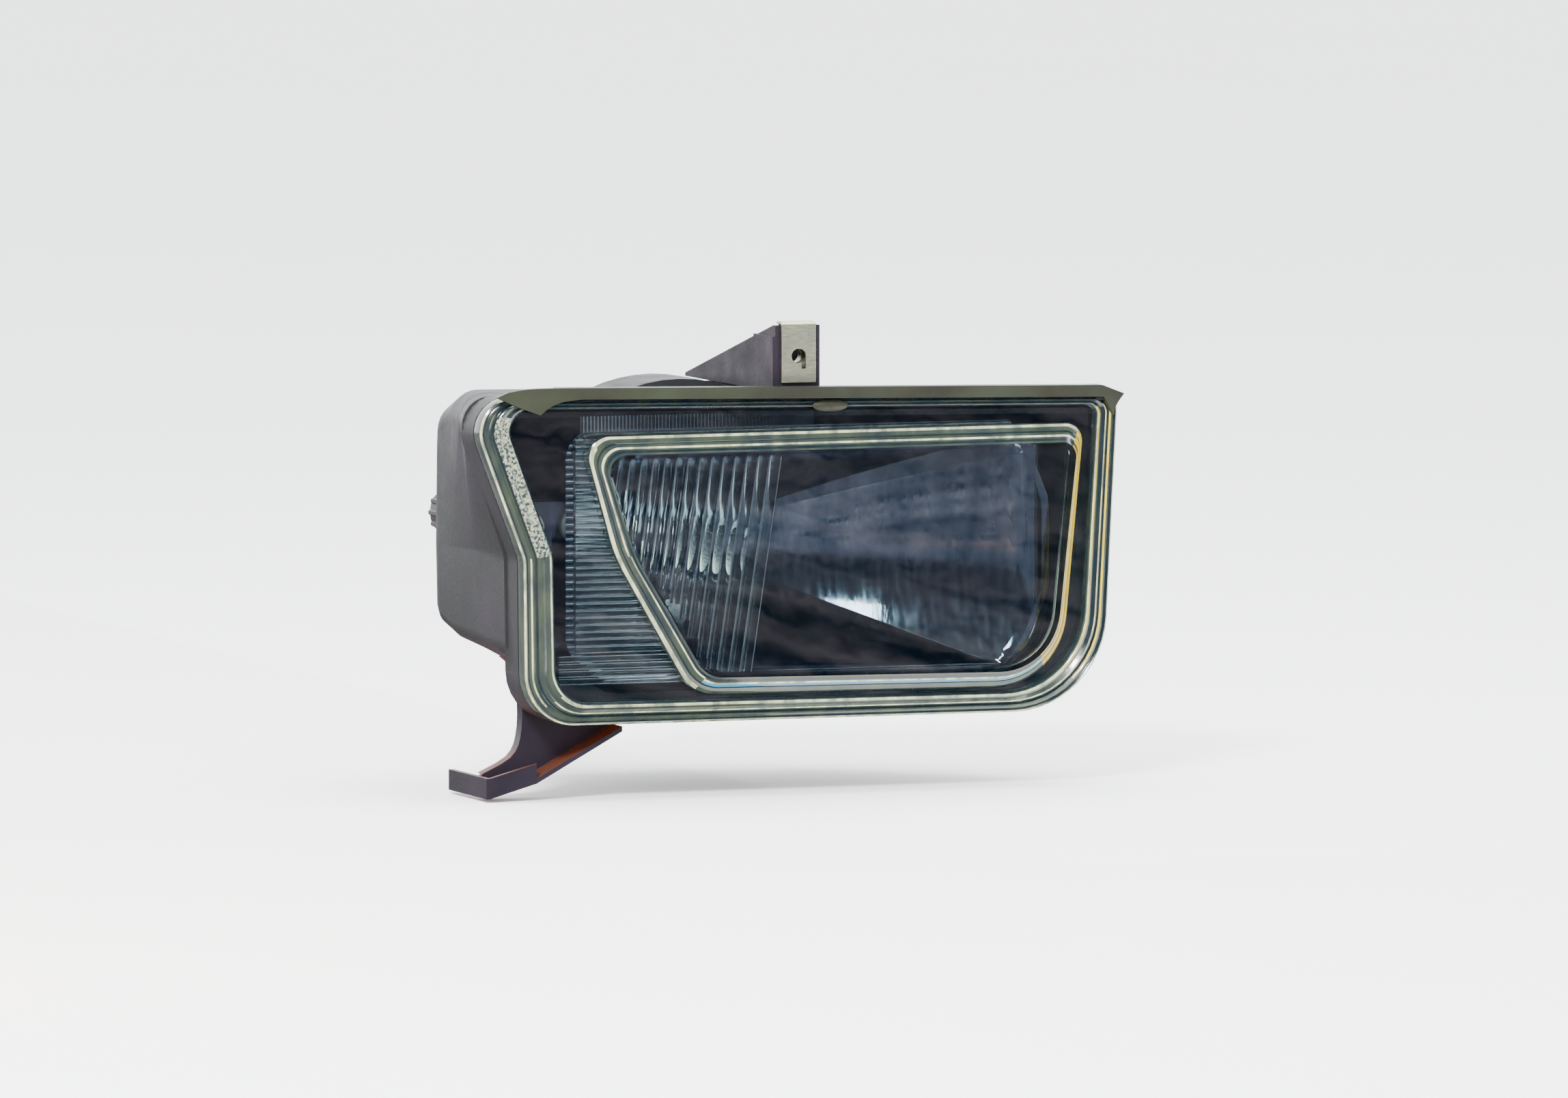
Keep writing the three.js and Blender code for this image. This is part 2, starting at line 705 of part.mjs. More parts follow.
function bowl(vertexY) {
  const rows = 10;
  const front = REFLECTOR_FRONT_Y - 4;
  const curve = Array.from({ length: rows + 1 }, (_, k) => {
    const radius = (Math.sqrt(4 * FOCAL_LENGTH * (vertexY - front)) * k) / rows;
    return [radius, vertexY - radius ** 2 / (4 * FOCAL_LENGTH)];
  });
  return turned([...curve, [0, front]], 0, 0, 32).scale([WIDE_SCALE, 1, 1]).translate([AXIS_X, 0, AXIS_Z]);
}

function makeReflector() {
  const back = VERTEX_Y + SHELL;
  const outside = bowl(back).intersect(slab(inset(REFLECTOR_OPENING, -SHELL), REFLECTOR_FRONT_Y, back + 1));
  const inside = bowl(VERTEX_Y).intersect(slab(REFLECTOR_OPENING, REFLECTOR_FRONT_Y - 3, back));
  const collar = disc(COLLAR_RADIUS, [VERTEX_Y - 8, COLLAR_END_Y]);
  const lugPlate = box(
    [CLIP_HINGE_X - 3, AXIS_X],
    [COLLAR_END_Y - 3, COLLAR_END_Y],
    [AXIS_Z - 10, AXIS_Z + 10],
  );
  const lugX = [CLIP_HINGE_X - 2.5, CLIP_HINGE_X + 2.5];
  const lugY = [COLLAR_END_Y - 1, CLIP_Y + 2.4];
  const upperLug = box(lugX, lugY, [AXIS_Z + 7.3, AXIS_Z + 9.5]);
  const lowerLug = box(lugX, lugY, [AXIS_Z - 9.5, AXIS_Z - 7.3]);
  const adjusterEar = box([-77.8, -60], [22, 28], [ADJUSTER_Z - 7, ADJUSTER_Z + 7]);
  const earY = [PIVOT_Y - EAR_HALF, PIVOT_Y + EAR_HALF];
  const earZ = [PIVOT_Z - EAR_HALF, PIVOT_Z + EAR_HALF];
  const leftEar = box([-71.6, -62], earY, earZ);
  const rightEar = box([56, 74.6], earY, earZ);
  const clipHole = bar([CLIP_HINGE_X, CLIP_Y, -20], [CLIP_HINGE_X, CLIP_Y, 20], CLIP_WIRE + 0.35, 12);
  return cut(
    join(outside, collar, lugPlate, upperLug, lowerLug, adjusterEar, leftEar, rightEar),
    inside,
    disc(BULB_HOLE_RADIUS, [50, COLLAR_END_Y + 1]),
    disc(4.7, [20, 30], ADJUSTER_X, ADJUSTER_Z, 24),
    bar([-75, PIVOT_Y, PIVOT_Z], [-67, PIVOT_Y, PIVOT_Z], PIVOT_PIN_RADIUS + 0.4),
    bar([68, PIVOT_Y, PIVOT_Z], [76, PIVOT_Y, PIVOT_Z], PIVOT_PIN_RADIUS + 0.4),
    bar([AXIS_X, 40, RIVET_Z], [AXIS_X, 70, RIVET_Z], 1.6, 12),
    clipHole,
  );
}

function makePivotPin(x0, x1) {
  return bar([x0, PIVOT_Y, PIVOT_Z], [x1, PIVOT_Y, PIVOT_Z], PIVOT_PIN_RADIUS);
}

// ---------- bulb, its shield and its spring clip ----------

function makeBulbGlass() {
  const tip = 34;
  const radius = 4.8;
  const end = BULB_BASE_Y[0] - GAP;
  const dome = Array.from({ length: 5 }, (_, k) => {
    const angle = (Math.PI / 2) * (k / 4);
    return [radius * Math.sin(angle), tip + radius * (1 - Math.cos(angle))];
  });
  return turned([...dome, [radius, end], [0, end]], AXIS_X, AXIS_Z, 20);
}

function makeBulbBase() {
  const flange = BULB_FLANGE_Y;
  const profile = [
    [0, BULB_BASE_Y[0]],
    [5.4, BULB_BASE_Y[0]],
    [5.8, BULB_BASE_Y[0] + 2],
    [5.8, flange],
    [9.5, flange],
    [9.5, flange + 1.2],
    [4, flange + 1.2],
    [4, BULB_BASE_Y[1]],
    [0, BULB_BASE_Y[1]],
  ];
  return turned(profile, AXIS_X, AXIS_Z, 24);
}

function makeBulbTerminal() {
  const y = [BULB_BASE_Y[1] + GAP, BULB_BASE_Y[1] + 8];
  return box([AXIS_X - 0.4, AXIS_X + 0.4], y, [AXIS_Z - 3.15, AXIS_Z + 3.15]);
}

function makeBulbShield() {
  const cupProfile = [
    [0, 25.2],
    [7, 26],
    [9, 29],
    [9, 34],
    [8.1, 34],
    [8.1, 29.4],
    [6.6, 26.9],
    [0, 26.1],
  ];
  const cup = turned(cupProfile, AXIS_X, AXIS_Z, 28);
  const legTop = AXIS_Z - 8.4;
  const legProfile = [
    [30, legTop],
    [34, legTop - 1.2],
    [54.9, RIVET_Z + 2.8],
    [54.9, RIVET_Z - 2.4],
    [54, RIVET_Z - 2.4],
    [54, RIVET_Z + 2.2],
    [32, legTop - 1.8],
    [30, legTop - 0.9],
  ];
  const leg = prismX(legProfile, AXIS_X - 3, AXIS_X + 3);
  return cut(join(cup, leg), bar([AXIS_X, 50, RIVET_Z], [AXIS_X, 60, RIVET_Z], 1.6, 12));
}

function makeShieldRivet() {
  const profile = [
    [0, 52.3],
    [1.6, 52.6],
    [2, 53.7],
    [1.3, 53.7],
    [1.3, 62],
    [0, 62],
  ];
  return turned(profile, AXIS_X, RIVET_Z, 12);
}

function makeBulbClip() {
  const top = AXIS_Z + CLIP_HALF_HEIGHT;
  const bottom = AXIS_Z - CLIP_HALF_HEIGHT;
  const route = [
    [CLIP_HINGE_X, CLIP_Y, AXIS_Z + 10.5],
    [CLIP_HINGE_X, CLIP_Y, AXIS_Z + 8.4],
    [CLIP_HINGE_X, CLIP_Y, AXIS_Z + 7],
    [CLIP_HINGE_X + 1.6, CLIP_Y, top],
    [CLIP_TIP_X - 2, CLIP_Y, top],
    [CLIP_TIP_X, CLIP_Y, AXIS_Z + 4],
    [CLIP_TIP_X, CLIP_Y, AXIS_Z - 4],
    [CLIP_TIP_X - 2, CLIP_Y, bottom],
    [CLIP_HINGE_X + 1.6, CLIP_Y, bottom],
    [CLIP_HINGE_X, CLIP_Y, AXIS_Z - 7],
    [CLIP_HINGE_X, CLIP_Y, AXIS_Z - 8.4],
    [CLIP_HINGE_X, CLIP_Y, AXIS_Z - 10.5],
  ];
  return wire(route, CLIP_WIRE, 32);
}

// ---------- aim adjuster ----------

function makeAdjusterScrew() {
  const shaft = disc(SCREW_RADIUS, [16, 83], ADJUSTER_X, ADJUSTER_Z, 20);
  const groove = ring([SCREW_RADIUS + 1, SCREW_RADIUS - 0.6], [64, 65.2], ADJUSTER_X, ADJUSTER_Z, 20);
  return cut(shaft, groove);
}

function makeAdjusterKnob() {
  const teeth = [];
  for (let k = 0; k < KNOB_TEETH; k += 1) {
    const angle = (Math.PI * 2 * k) / KNOB_TEETH;
    const x = ADJUSTER_X + KNOB_RADIUS * Math.cos(angle);
    const z = ADJUSTER_Z + KNOB_RADIUS * Math.sin(angle);
    teeth.push(disc(0.95, [KNOB_Y[0] + 1, KNOB_Y[1] - 1.2], x, z, 6));
  }
  const body = join(disc(KNOB_RADIUS, KNOB_Y, ADJUSTER_X, ADJUSTER_Z, 20), ...teeth);
  return cut(body, disc(SCREW_RADIUS + 0.2, [70, 83.3], ADJUSTER_X, ADJUSTER_Z, 20));
}

function makeAdjusterBush() {
  const bore = SCREW_RADIUS + GAP;
  const profile = [
    [bore, 65.7],
    [5.1, 65.7],
    [5.1, 74.9],
    [7, 74.9],
    [7, 75.3],
    [bore, 75.3],
    [bore, 65.7],
  ];
  return turned(profile, ADJUSTER_X, ADJUSTER_Z, 20);
}

function makeAdjusterRetainer() {
  const clip = ring([5.4, SCREW_RADIUS - 0.35], [64.2, 65], ADJUSTER_X, ADJUSTER_Z, 20);
  return cut(clip, box([ADJUSTER_X - 1.6, ADJUSTER_X + 1.6], [60, 70], [ADJUSTER_Z - 10, ADJUSTER_Z]));
}

function makeAdjusterNut() {
  const bore = SCREW_RADIUS + 0.6;
  const sleeve = ring([4.4, bore], [21, 30], ADJUSTER_X, ADJUSTER_Z, 24);
  return join(sleeve, ring([5.5, bore], [28 + GAP, 30], ADJUSTER_X, ADJUSTER_Z, 24));
}

// ---------- rear cap ----------

function capLug() {
  const y = [CAP_Y[0], CAP_Y[0] + 2.6];
  const whole = ring([CAP_RADIUS - 1, NECK_RADIUS + 0.5], y);
  return whole.intersect(box([AXIS_X - 7, AXIS_X + 7], y, [AXIS_Z, AXIS_Z + 60]));
}

function makeRearCap() {
  const [front, back] = CAP_Y;
  const bore = CAP_RADIUS - CAP_WALL;
  const profile = [
    [0, back - CAP_WALL],
    [bore - 1, back - CAP_WALL],
    [bore, back - 4],
    [bore, front],
    [CAP_RADIUS, front],
    [CAP_RADIUS, back - 3],
    [CAP_RADIUS - 3, back],
    [0, back],
  ];
  const cup = turned(profile, AXIS_X, AXIS_Z);
  const grip = box([AXIS_X - 22, AXIS_X + 22], [back - 1, back + 5], [AXIS_Z - 2, AXIS_Z + 2]);
  const groove = ring([CAP_RADIUS - 9, CAP_RADIUS - 10.5], [back - 0.7, back + 1]);
  const whole = join(cut(cup, groove), grip, ...aroundAxis(CAP_LUG_COUNT, capLug));
  return cut(whole, ...aroundAxis(CAP_SCALLOP_COUNT, capScallop));
}

/** Rounded cut in the cap's edge for the fingers. */
function capScallop() {
  const z = AXIS_Z + CAP_RADIUS + 0.7;
  return bar([AXIS_X, CAP_Y[0] + 4, z], [AXIS_X, CAP_Y[1] + 1, z], 1.6, 10);
}

function makeCapSeal() {
  const outer = CAP_RADIUS - 3.8;
  const inner = NECK_RADIUS - WALL + 0.4;
  return ring([outer, inner], [NECK_END_Y + GAP, CAP_Y[1] - CAP_WALL - GAP]);
}

// ---------- connector, leads and vent ----------

function makeConnectorSocket() {
  const [halfX, halfZ] = SOCKET_HALF;
  const [cavityX, cavityZ] = SOCKET_CAVITY;
  const [front, back] = SOCKET_Y;
  const shroud = box(
    [SOCKET_X - halfX, SOCKET_X + halfX],
    [front, back],
    [SOCKET_Z - halfZ, SOCKET_Z + halfZ],
  );
  const core = box([SOCKET_X - 4.9, SOCKET_X + 4.9], [68.5, front + 1], [SOCKET_Z - 2.9, SOCKET_Z + 2.9]);
  const cavity = box(
    [SOCKET_X - cavityX, SOCKET_X + cavityX],
    [front + 3, back + 1],
    [SOCKET_Z - cavityZ, SOCKET_Z + cavityZ],
  );
  const latchZ = [SOCKET_Z + halfZ - 1, SOCKET_Z + halfZ + 1.4];
  const latch = box([SOCKET_X - 3, SOCKET_X + 3], [back - 6, back - 3], latchZ);
  const slots = [-1, 1].map((side) => terminalBlade(side, 0.15, [60, 80]));
  return cut(join(shroud, core, latch), cavity, ...slots);
}

/** Flat blade on one side of the socket, grown by an amount all round. */
function terminalBlade(side, grow, y) {
  const x = SOCKET_X + side * 3;
  return box([x - 0.4 - grow, x + 0.4 + grow], y, [SOCKET_Z - 1.6 - grow, SOCKET_Z + 1.6 + grow]);
}

function makeLead(route) {
  return wire(route, 1.1, 22);
}

function makeVentElbow() {
  const bendY = 83.5;
  const openEnd = VENT_Z - 11;
  const sleeve = bar([VENT_X, 74.5, VENT_Z], [VENT_X, bendY + 0.5, VENT_Z], 6);
  const down = bar([VENT_X, bendY, VENT_Z], [VENT_X, bendY, openEnd], 4.6);
  const stubHole = bar([VENT_X, 70, VENT_Z], [VENT_X, VENT_END_Y + 0.5, VENT_Z], VENT_STUB_RADIUS + GAP);
  const backHole = bar([VENT_X, 76, VENT_Z], [VENT_X, bendY + 0.5, VENT_Z], 2.4);
  const downHole = bar([VENT_X, bendY, VENT_Z + 1], [VENT_X, bendY, openEnd - 2], 2.4);
  return cut(join(sleeve, down), stubHole, backHole, downHole);
}

// ---------- assembly ----------

addPiece('housing', makeHousing(), darkMoulding);
addPiece('lens', makeLens(), lampGlass);
addPiece('lens_seal', makeLensSeal(), softRubber);
addPiece('top_trim', makeTopTrim(), darkTrim);
addPiece('trim_clip', makeTrimClip(), darkTrim);
addPiece('upper_bracket', makeUpperBracket(), darkMoulding);
addPiece('upper_clip_nut', makeUpperClipNut(), zincSteel);
addPiece('upper_bracket_screw_front', makeScrew(BRACKET_SCREW_Y[0]), brightSteel);
addPiece('upper_bracket_screw_rear', makeScrew(BRACKET_SCREW_Y[1]), brightSteel);
addPiece('lower_bracket', makeLowerBracket(), darkMoulding);
addPiece('lower_bracket_rivet_left', makeRivet(RIVETS[0]), brightSteel);
addPiece('lower_bracket_rivet_right', makeRivet(RIVETS[1]), brightSteel);
addPiece('reflector', makeReflector(), mirrorCoat);
addPiece('pivot_pin_left', makePivotPin(-78.6, -67.4), brightSteel);
addPiece('pivot_pin_right', makePivotPin(68.6, 80.8), brightSteel);
addPiece('bulb_glass', makeBulbGlass(), bulbGlass);
addPiece('bulb_base', makeBulbBase(), brightSteel);
addPiece('bulb_terminal', makeBulbTerminal(), brass);
addPiece('bulb_shield', makeBulbShield(), mirrorCoat);
addPiece('shield_rivet', makeShieldRivet(), brightSteel);
addPiece('bulb_clip', makeBulbClip(), brightSteel);
addPiece('adjuster_screw', makeAdjusterScrew(), brightSteel);
addPiece('adjuster_knob', makeAdjusterKnob(), blackPlastic);
addPiece('adjuster_bush', makeAdjusterBush(), softRubber);
addPiece('adjuster_retainer', makeAdjusterRetainer(), brightSteel);
addPiece('adjuster_nut', makeAdjusterNut(), whiteNylon);
addPiece('rear_cap', makeRearCap(), blackPlastic);
addPiece('cap_seal', makeCapSeal(), softRubber);
addPiece('connector_socket', makeConnectorSocket(), blackPlastic);
addPiece('terminal_live', terminalBlade(-1, 0, [67, 88]), brass);
addPiece('terminal_ground', terminalBlade(1, 0, [67, 88]), brass);
addPiece('live_lead', makeLead(LIVE_ROUTE), redWire);
addPiece('ground_lead', makeLead(GROUND_ROUTE), blackWire);
addPiece('vent_elbow', makeVentElbow(), softRubber);

lamp.position.set(...MOUNT_POINT.map((value) => -value));

const fogLight = new THREE.Group();
fogLight.name = 'fog_light';
fogLight.add(lamp);

export default fogLight;
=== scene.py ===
"""The fog light's looks: fluted glass, mirrored bowl, moulded housing and plated steel."""

import math

import bmesh
import bpy
from mathutils import Matrix, Vector


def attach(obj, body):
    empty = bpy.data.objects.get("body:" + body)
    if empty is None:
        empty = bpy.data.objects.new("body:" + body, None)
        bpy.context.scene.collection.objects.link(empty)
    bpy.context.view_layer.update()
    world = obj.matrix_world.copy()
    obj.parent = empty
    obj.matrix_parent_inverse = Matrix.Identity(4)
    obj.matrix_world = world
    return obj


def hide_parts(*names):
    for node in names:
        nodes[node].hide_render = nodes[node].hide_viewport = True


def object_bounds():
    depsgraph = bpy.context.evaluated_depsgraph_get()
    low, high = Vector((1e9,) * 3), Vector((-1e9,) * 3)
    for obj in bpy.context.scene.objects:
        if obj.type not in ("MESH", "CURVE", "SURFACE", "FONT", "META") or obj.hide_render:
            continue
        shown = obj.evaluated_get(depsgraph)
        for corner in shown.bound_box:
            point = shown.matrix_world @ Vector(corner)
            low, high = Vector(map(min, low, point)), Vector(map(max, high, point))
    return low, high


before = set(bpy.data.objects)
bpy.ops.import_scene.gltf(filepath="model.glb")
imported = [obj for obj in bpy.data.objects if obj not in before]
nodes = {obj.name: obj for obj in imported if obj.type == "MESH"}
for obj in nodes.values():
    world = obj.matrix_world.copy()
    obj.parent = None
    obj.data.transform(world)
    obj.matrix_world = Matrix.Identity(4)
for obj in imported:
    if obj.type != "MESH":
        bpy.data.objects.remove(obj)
cad_bounds = [list(corner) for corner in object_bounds()]

# ---------- the lamp frame ----------
# Millimetres: X = 0 and Z = 0 in the middle of the lens, Y = 0 on the front face of its rim.
MM = 0.001
LAMP_ORIGIN = Vector((-1.5, -1.9, -51.0))  # the lens's middle, seen from the row's origin
SHY = 0.15  # how far the finer arcs stay inside the CAD outlines

# Outlines seen from the front, clockwise from the top left: (x, z, corner radius).
LENS_OUTLINE = [(-98.5, 47.7, 10), (97, 44.7, 5), (92.5, -45, 28), (-80.5, -45, 15), (-81, 2, 8)]
LENS_WELL = [(-86.5, 44, 6), (90, 41.4, 3), (85, -39, 24), (-70.5, -38.5, 10), (-71.3, 3, 8)]
WINDOW_FOOT = [(-63, 36, 6), (87, 36.5, 5), (80, -38, 22), (-30.5, -37.5, 12), (-53.5, 2, 45)]
WINDOW_FACE = [(-57, 30.5, 5), (84.5, 31, 4), (77.5, -33.5, 18), (-26.5, -32.5, 9), (-47.5, 2, 40)]
REFLECTOR_OPENING = [(-63, 35, 6), (77, 35, 6), (77, -32, 14), (-52, -32, 6), (-63, -24, 6)]

AXIS_X = -17
AXIS_Z = 2
WELL_Y = 2.2
GLASS_BACK_Y = 5
WINDOW_FACE_Y = 0.2
WINDOW_BACK_Y = 2.9
SKIRT_END_Y = 11.1
AIR = 0.03  # between the glass and its flutes, which are closed pieces of their own

# Smoothing and edge rounds of the CAD nodes, in degrees and millimetres.
SMOOTH_ANGLE = 34
FLAT_ANGLE = 1  # facets within this of each other are one face
ROUNDED_ANGLE = 38  # edges sharper than this get a round
EDGE_ROUND = 0.25
WELD = 0.001


def lamp(x, y, z):
    """A point of the lamp frame, in metres in the row frame."""
    return (LAMP_ORIGIN + Vector((x, y, z))) * MM


# ---------- outlines and meshes ----------


def rounded(corners, steps=12):
    """Points of an outline whose corners are arcs."""
    points = []
    for i, (x, z, radius) in enumerate(corners):
        corner = Vector((x, z))
        before = (Vector(corners[i - 1][:2]) - corner).normalized()
        after = (Vector(corners[(i + 1) % len(corners)][:2]) - corner).normalized()
        half = before.angle(after) / 2
        centre = corner + (before + after).normalized() * radius / math.sin(half)
        start = corner + before * radius / math.tan(half) - centre
        side = before.x * after.y - before.y * after.x
        sweep = -math.copysign(math.pi - 2 * half, side)
        for k in range(steps + 1):
            points.append(centre + Matrix.Rotation(sweep * k / steps, 2) @ start)
    return points


def inset(corners, distance):
    """The same outline moved inwards by a distance."""
    moved = []
    for i, (x, z, radius) in enumerate(corners):
        corner = Vector((x, z))
        before = (Vector(corners[i - 1][:2]) - corner).normalized()
        after = (Vector(corners[(i + 1) % len(corners)][:2]) - corner).normalized()
        turn = math.copysign(1, before.x * after.y - before.y * after.x)
        half = before.angle(after) / 2
        point = corner + (before + after).normalized() * turn * distance / math.sin(half)
        moved.append((point.x, point.y, max(radius - turn * distance, 0.4)))
    return moved


def between(first, second, share):
    """Points a share of the way from one outline's points to another's."""
    return [a.lerp(b, share) for a, b in zip(first, second)]


def at_depth(points, y):
    """Outline points as one ring at a depth."""
    return [(p.x, y, p.y) for p in points]


def rings_mesh(rings, closed=False, first_cap=True, last_cap=True):
    """Vertices and faces through rings of equally many points; closed joins the last to the first."""
    count = len(rings[0])
    verts = [p for ring in rings for p in ring]
    faces = []
    spans = len(rings) if closed else len(rings) - 1
    for r in range(spans):
        low = r * count
        high = (r + 1) % len(rings) * count
        for i in range(count):
            j = (i + 1) % count
            faces.append((low + i, low + j, high + j, high + i))
    if not closed and first_cap:
        faces.append(tuple(range(count))[::-1])
    if not closed and last_cap:
        faces.append(tuple(range(len(verts) - count, len(verts))))
    return verts, faces


def combined(parts):
    """One list of vertices and faces from several."""
    verts, faces = [], []
    for part_verts, part_faces in parts:
        start = len(verts)
        verts += part_verts
        faces += [tuple(start + i for i in face) for face in part_faces]
    return verts, faces


def add_object(name, part, material, body, smooth_angle=35):
    """One object from lamp frame millimetres, with its normals outwards."""
    verts, faces = part
    mesh = bpy.data.meshes.new(name)
    mesh.from_pydata([lamp(*p) for p in verts], [], faces)
    mesh.validate()
    work = bmesh.new()
    work.from_mesh(mesh)
    bmesh.ops.remove_doubles(work, verts=work.verts, dist=1e-6)
    bmesh.ops.recalc_face_normals(work, faces=work.faces)
    work.to_mesh(mesh)
    work.free()
    mesh.shade_smooth()
    mesh.set_sharp_from_angle(angle=math.radians(smooth_angle))
    mesh.materials.append(material)
    made = bpy.data.objects.new(name, mesh)
    bpy.context.scene.collection.objects.link(made)
    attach(made, body)
    return made


# ---------- materials ----------


class Shader:
    """A Principled material whose colour, roughness and normal vary with the piece's own coordinates."""

    def __init__(self, name, colour, roughness, metallic=0.0):
        self.material = bpy.data.materials.new(name)
        self.material.use_nodes = True
        self.tree = self.material.node_tree
        self.principled = self.tree.nodes["Principled BSDF"]
        self.principled.inputs["Metallic"].default_value = metallic
        self.principled.inputs["Base Color"].default_value = (*colour, 1)
        self.principled.inputs["Roughness"].default_value = roughness
        self.colour = colour
        self.roughness = roughness
        self.place = self.tree.nodes.new("ShaderNodeTexCoord").outputs["Object"]
        self.normal = None

    def noise(self, size_mm, detail=4.0, stretch=(1, 1, 1)):
        """Noise whose features are about that many millimetres across."""
        scaled = self.tree.nodes.new("ShaderNodeMapping")
        scaled.inputs["Scale"].default_value = [s / (size_mm * MM) for s in stretch]
        texture = self.tree.nodes.new("ShaderNodeTexNoise")
        texture.inputs["Scale"].default_value = 1.0
        texture.inputs["Detail"].default_value = detail
        self.tree.links.new(self.place, scaled.inputs["Vector"])
        self.tree.links.new(scaled.outputs["Vector"], texture.inputs["Vector"])
        return texture.outputs["Fac"]

    def spread(self, value, low, high, softness=0.2):
        """The middle of a noise stretched over a range; a small softness gives hard-edged patches."""
        ranged = self.tree.nodes.new("ShaderNodeMapRange")
        ranged.inputs["From Min"].default_value = 0.5 - softness
        ranged.inputs["From Max"].default_value = 0.5 + softness
        ranged.inputs["To Min"].default_value = low
        ranged.inputs["To Max"].default_value = high
        self.tree.links.new(value, ranged.inputs["Value"])
        return ranged.outputs["Result"]

    def vary_colour(self, other, size_mm, stretch=(1, 1, 1), softness=0.2):
        """The colour drifts to another one in patches."""
        mix = self.tree.nodes.new("ShaderNodeMix")
        mix.data_type = "RGBA"
        mix.inputs["A"].default_value = (*self.colour, 1)
        mix.inputs["B"].default_value = (*other, 1)
        share = self.spread(self.noise(size_mm, stretch=stretch), 0, 1, softness)
        self.tree.links.new(share, mix.inputs["Factor"])
        self.tree.links.new(mix.outputs["Result"], self.principled.inputs["Base Color"])
        return self

    def vary_roughness(self, amount, size_mm, stretch=(1, 1, 1)):
        """Roughness wanders either side of its middle value."""
        low = max(self.roughness - amount, 0.01)
        value = self.spread(self.noise(size_mm, stretch=stretch), low, self.roughness + amount)
        self.tree.links.new(value, self.principled.inputs["Roughness"])
        return self

    def bump(self, height_mm, size_mm, stretch=(1, 1, 1), detail=3.0):
        """Relief of that height and grain size, on top of any relief added before."""
        node = self.tree.nodes.new("ShaderNodeBump")
        node.inputs["Distance"].default_value = height_mm * MM
        self.tree.links.new(self.noise(size_mm, detail, stretch), node.inputs["Height"])
        if self.normal is not None:
            self.tree.links.new(self.normal, node.inputs["Normal"])
        self.normal = node.outputs["Normal"]
        self.tree.links.new(self.normal, self.principled.inputs["Normal"])
        return self

    def painted_warm_light(self, colour, share, ledges=False):
        """Painted warm light, in patches, over the faces that look down, and the ones that look up if asked:
        it stands in for warm light thrown up from below.
        """
        facing = self.tree.nodes.new("ShaderNodeSeparateXYZ")
        geometry = self.tree.nodes.new("ShaderNodeNewGeometry")
        self.tree.links.new(geometry.outputs["Normal"], facing.inputs["Vector"])
        level = self.tree.nodes.new("ShaderNodeMath")
        level.operation = "ABSOLUTE" if ledges else "MULTIPLY"
        level.inputs[1].default_value = -1  # turns the normal's height over; ABSOLUTE ignores it
        self.tree.links.new(facing.outputs["Z"], level.inputs[0])
        warm_mask = self.tree.nodes.new("ShaderNodeMapRange")
        warm_mask.inputs["From Min"].default_value = 0.35
        warm_mask.inputs["From Max"].default_value = 0.8
        warm_mask.inputs["To Max"].default_value = share
        self.tree.links.new(level.outputs["Value"], warm_mask.inputs["Value"])
        patches = self.tree.nodes.new("ShaderNodeMath")
        patches.operation = "MULTIPLY"
        self.tree.links.new(warm_mask.outputs["Result"], patches.inputs[0])
        self.tree.links.new(self.spread(self.noise(7), 0.6, 1.0), patches.inputs[1])
        unlit_colour = self.principled.inputs["Base Color"].links[0].from_socket
        mix = self.tree.nodes.new("ShaderNodeMix")
        mix.data_type = "RGBA"
        mix.inputs["B"].default_value = (*colour, 1)
        self.tree.links.new(patches.outputs["Value"], mix.inputs["Factor"])
        self.tree.links.new(unlit_colour, mix.inputs["A"])
        self.tree.links.new(mix.outputs["Result"], self.principled.inputs["Base Color"])
        return self

    def lit_through(self, lamplight):
        """Glass that lets that share of the studio lights through to what it shuts in."""
        output = self.tree.nodes["Material Output"]
        clear = self.tree.nodes.new("ShaderNodeBsdfTransparent")
        clear.inputs["Color"].default_value = (*lamplight, 1)
        path = self.tree.nodes.new("ShaderNodeLightPath")
        mix = self.tree.nodes.new("ShaderNodeMixShader")
        self.tree.links.new(path.outputs["Is Shadow Ray"], mix.inputs["Fac"])
        self.tree.links.new(self.principled.outputs["BSDF"], mix.inputs[1])
        self.tree.links.new(clear.outputs["BSDF"], mix.inputs[2])
        self.tree.links.new(mix.outputs["Shader"], output.inputs["Surface"])
        return self


# Orange-brown of the painted warm light on the faces that look down.
WARM_LIGHT_COLOUR = (0.1, 0.032, 0.012)


def moulded(name, colour, other, roughness=0.48, warm_light_share=0.0, ledges=False):
    """Injection-moulded plastic: fine spark grain, faint flow marks and a share of painted warm light on the
    faces that look down.
    """
    shader = Shader(name, colour, roughness)
    shader.principled.inputs["Specular IOR Level"].default_value = 0.22
    shader.vary_colour(other, 26).vary_roughness(0.09, 9)
    if warm_light_share > 0:
        shader.painted_warm_light(WARM_LIGHT_COLOUR, warm_light_share, ledges)
    return shader.bump(0.05, 1.1).bump(0.02, 0.35).material


def plated(name, colour, other, roughness=0.3, stretch=(1, 1, 5)):
    """Plated sheet or bar: drawn streaks and a cloudy passivation film."""
    shader = Shader(name, colour, roughness, metallic=1.0)
    shader.vary_colour(other, 5).vary_roughness(0.1, 2.5, stretch)
    return shader.bump(0.008, 0.5, stretch).material


def rubber(name, colour=(0.016, 0.016, 0.018)):
    """Matt rubber with a dusty bloom."""
    shader = Shader(name, colour, 0.75)
    shader.vary_colour(tuple(c * 2.2 for c in colour), 6).vary_roughness(0.12, 3)
    return shader.bump(0.03, 0.8).material


def clear_glass(name, tint, relief_mm, lamplight):
    """Pressed glass with a slight waviness; lamplight is the share of the studio lights it lets in."""
    shader = Shader(name, tint, 0.015)
    shader.principled.inputs["Transmission Weight"].default_value = 1.0
    shader.principled.inputs["IOR"].default_value = 1.5
    shader.vary_roughness(0.012, 14).bump(relief_mm, 9, detail=1.0)
    return shader.lit_through(lamplight).material


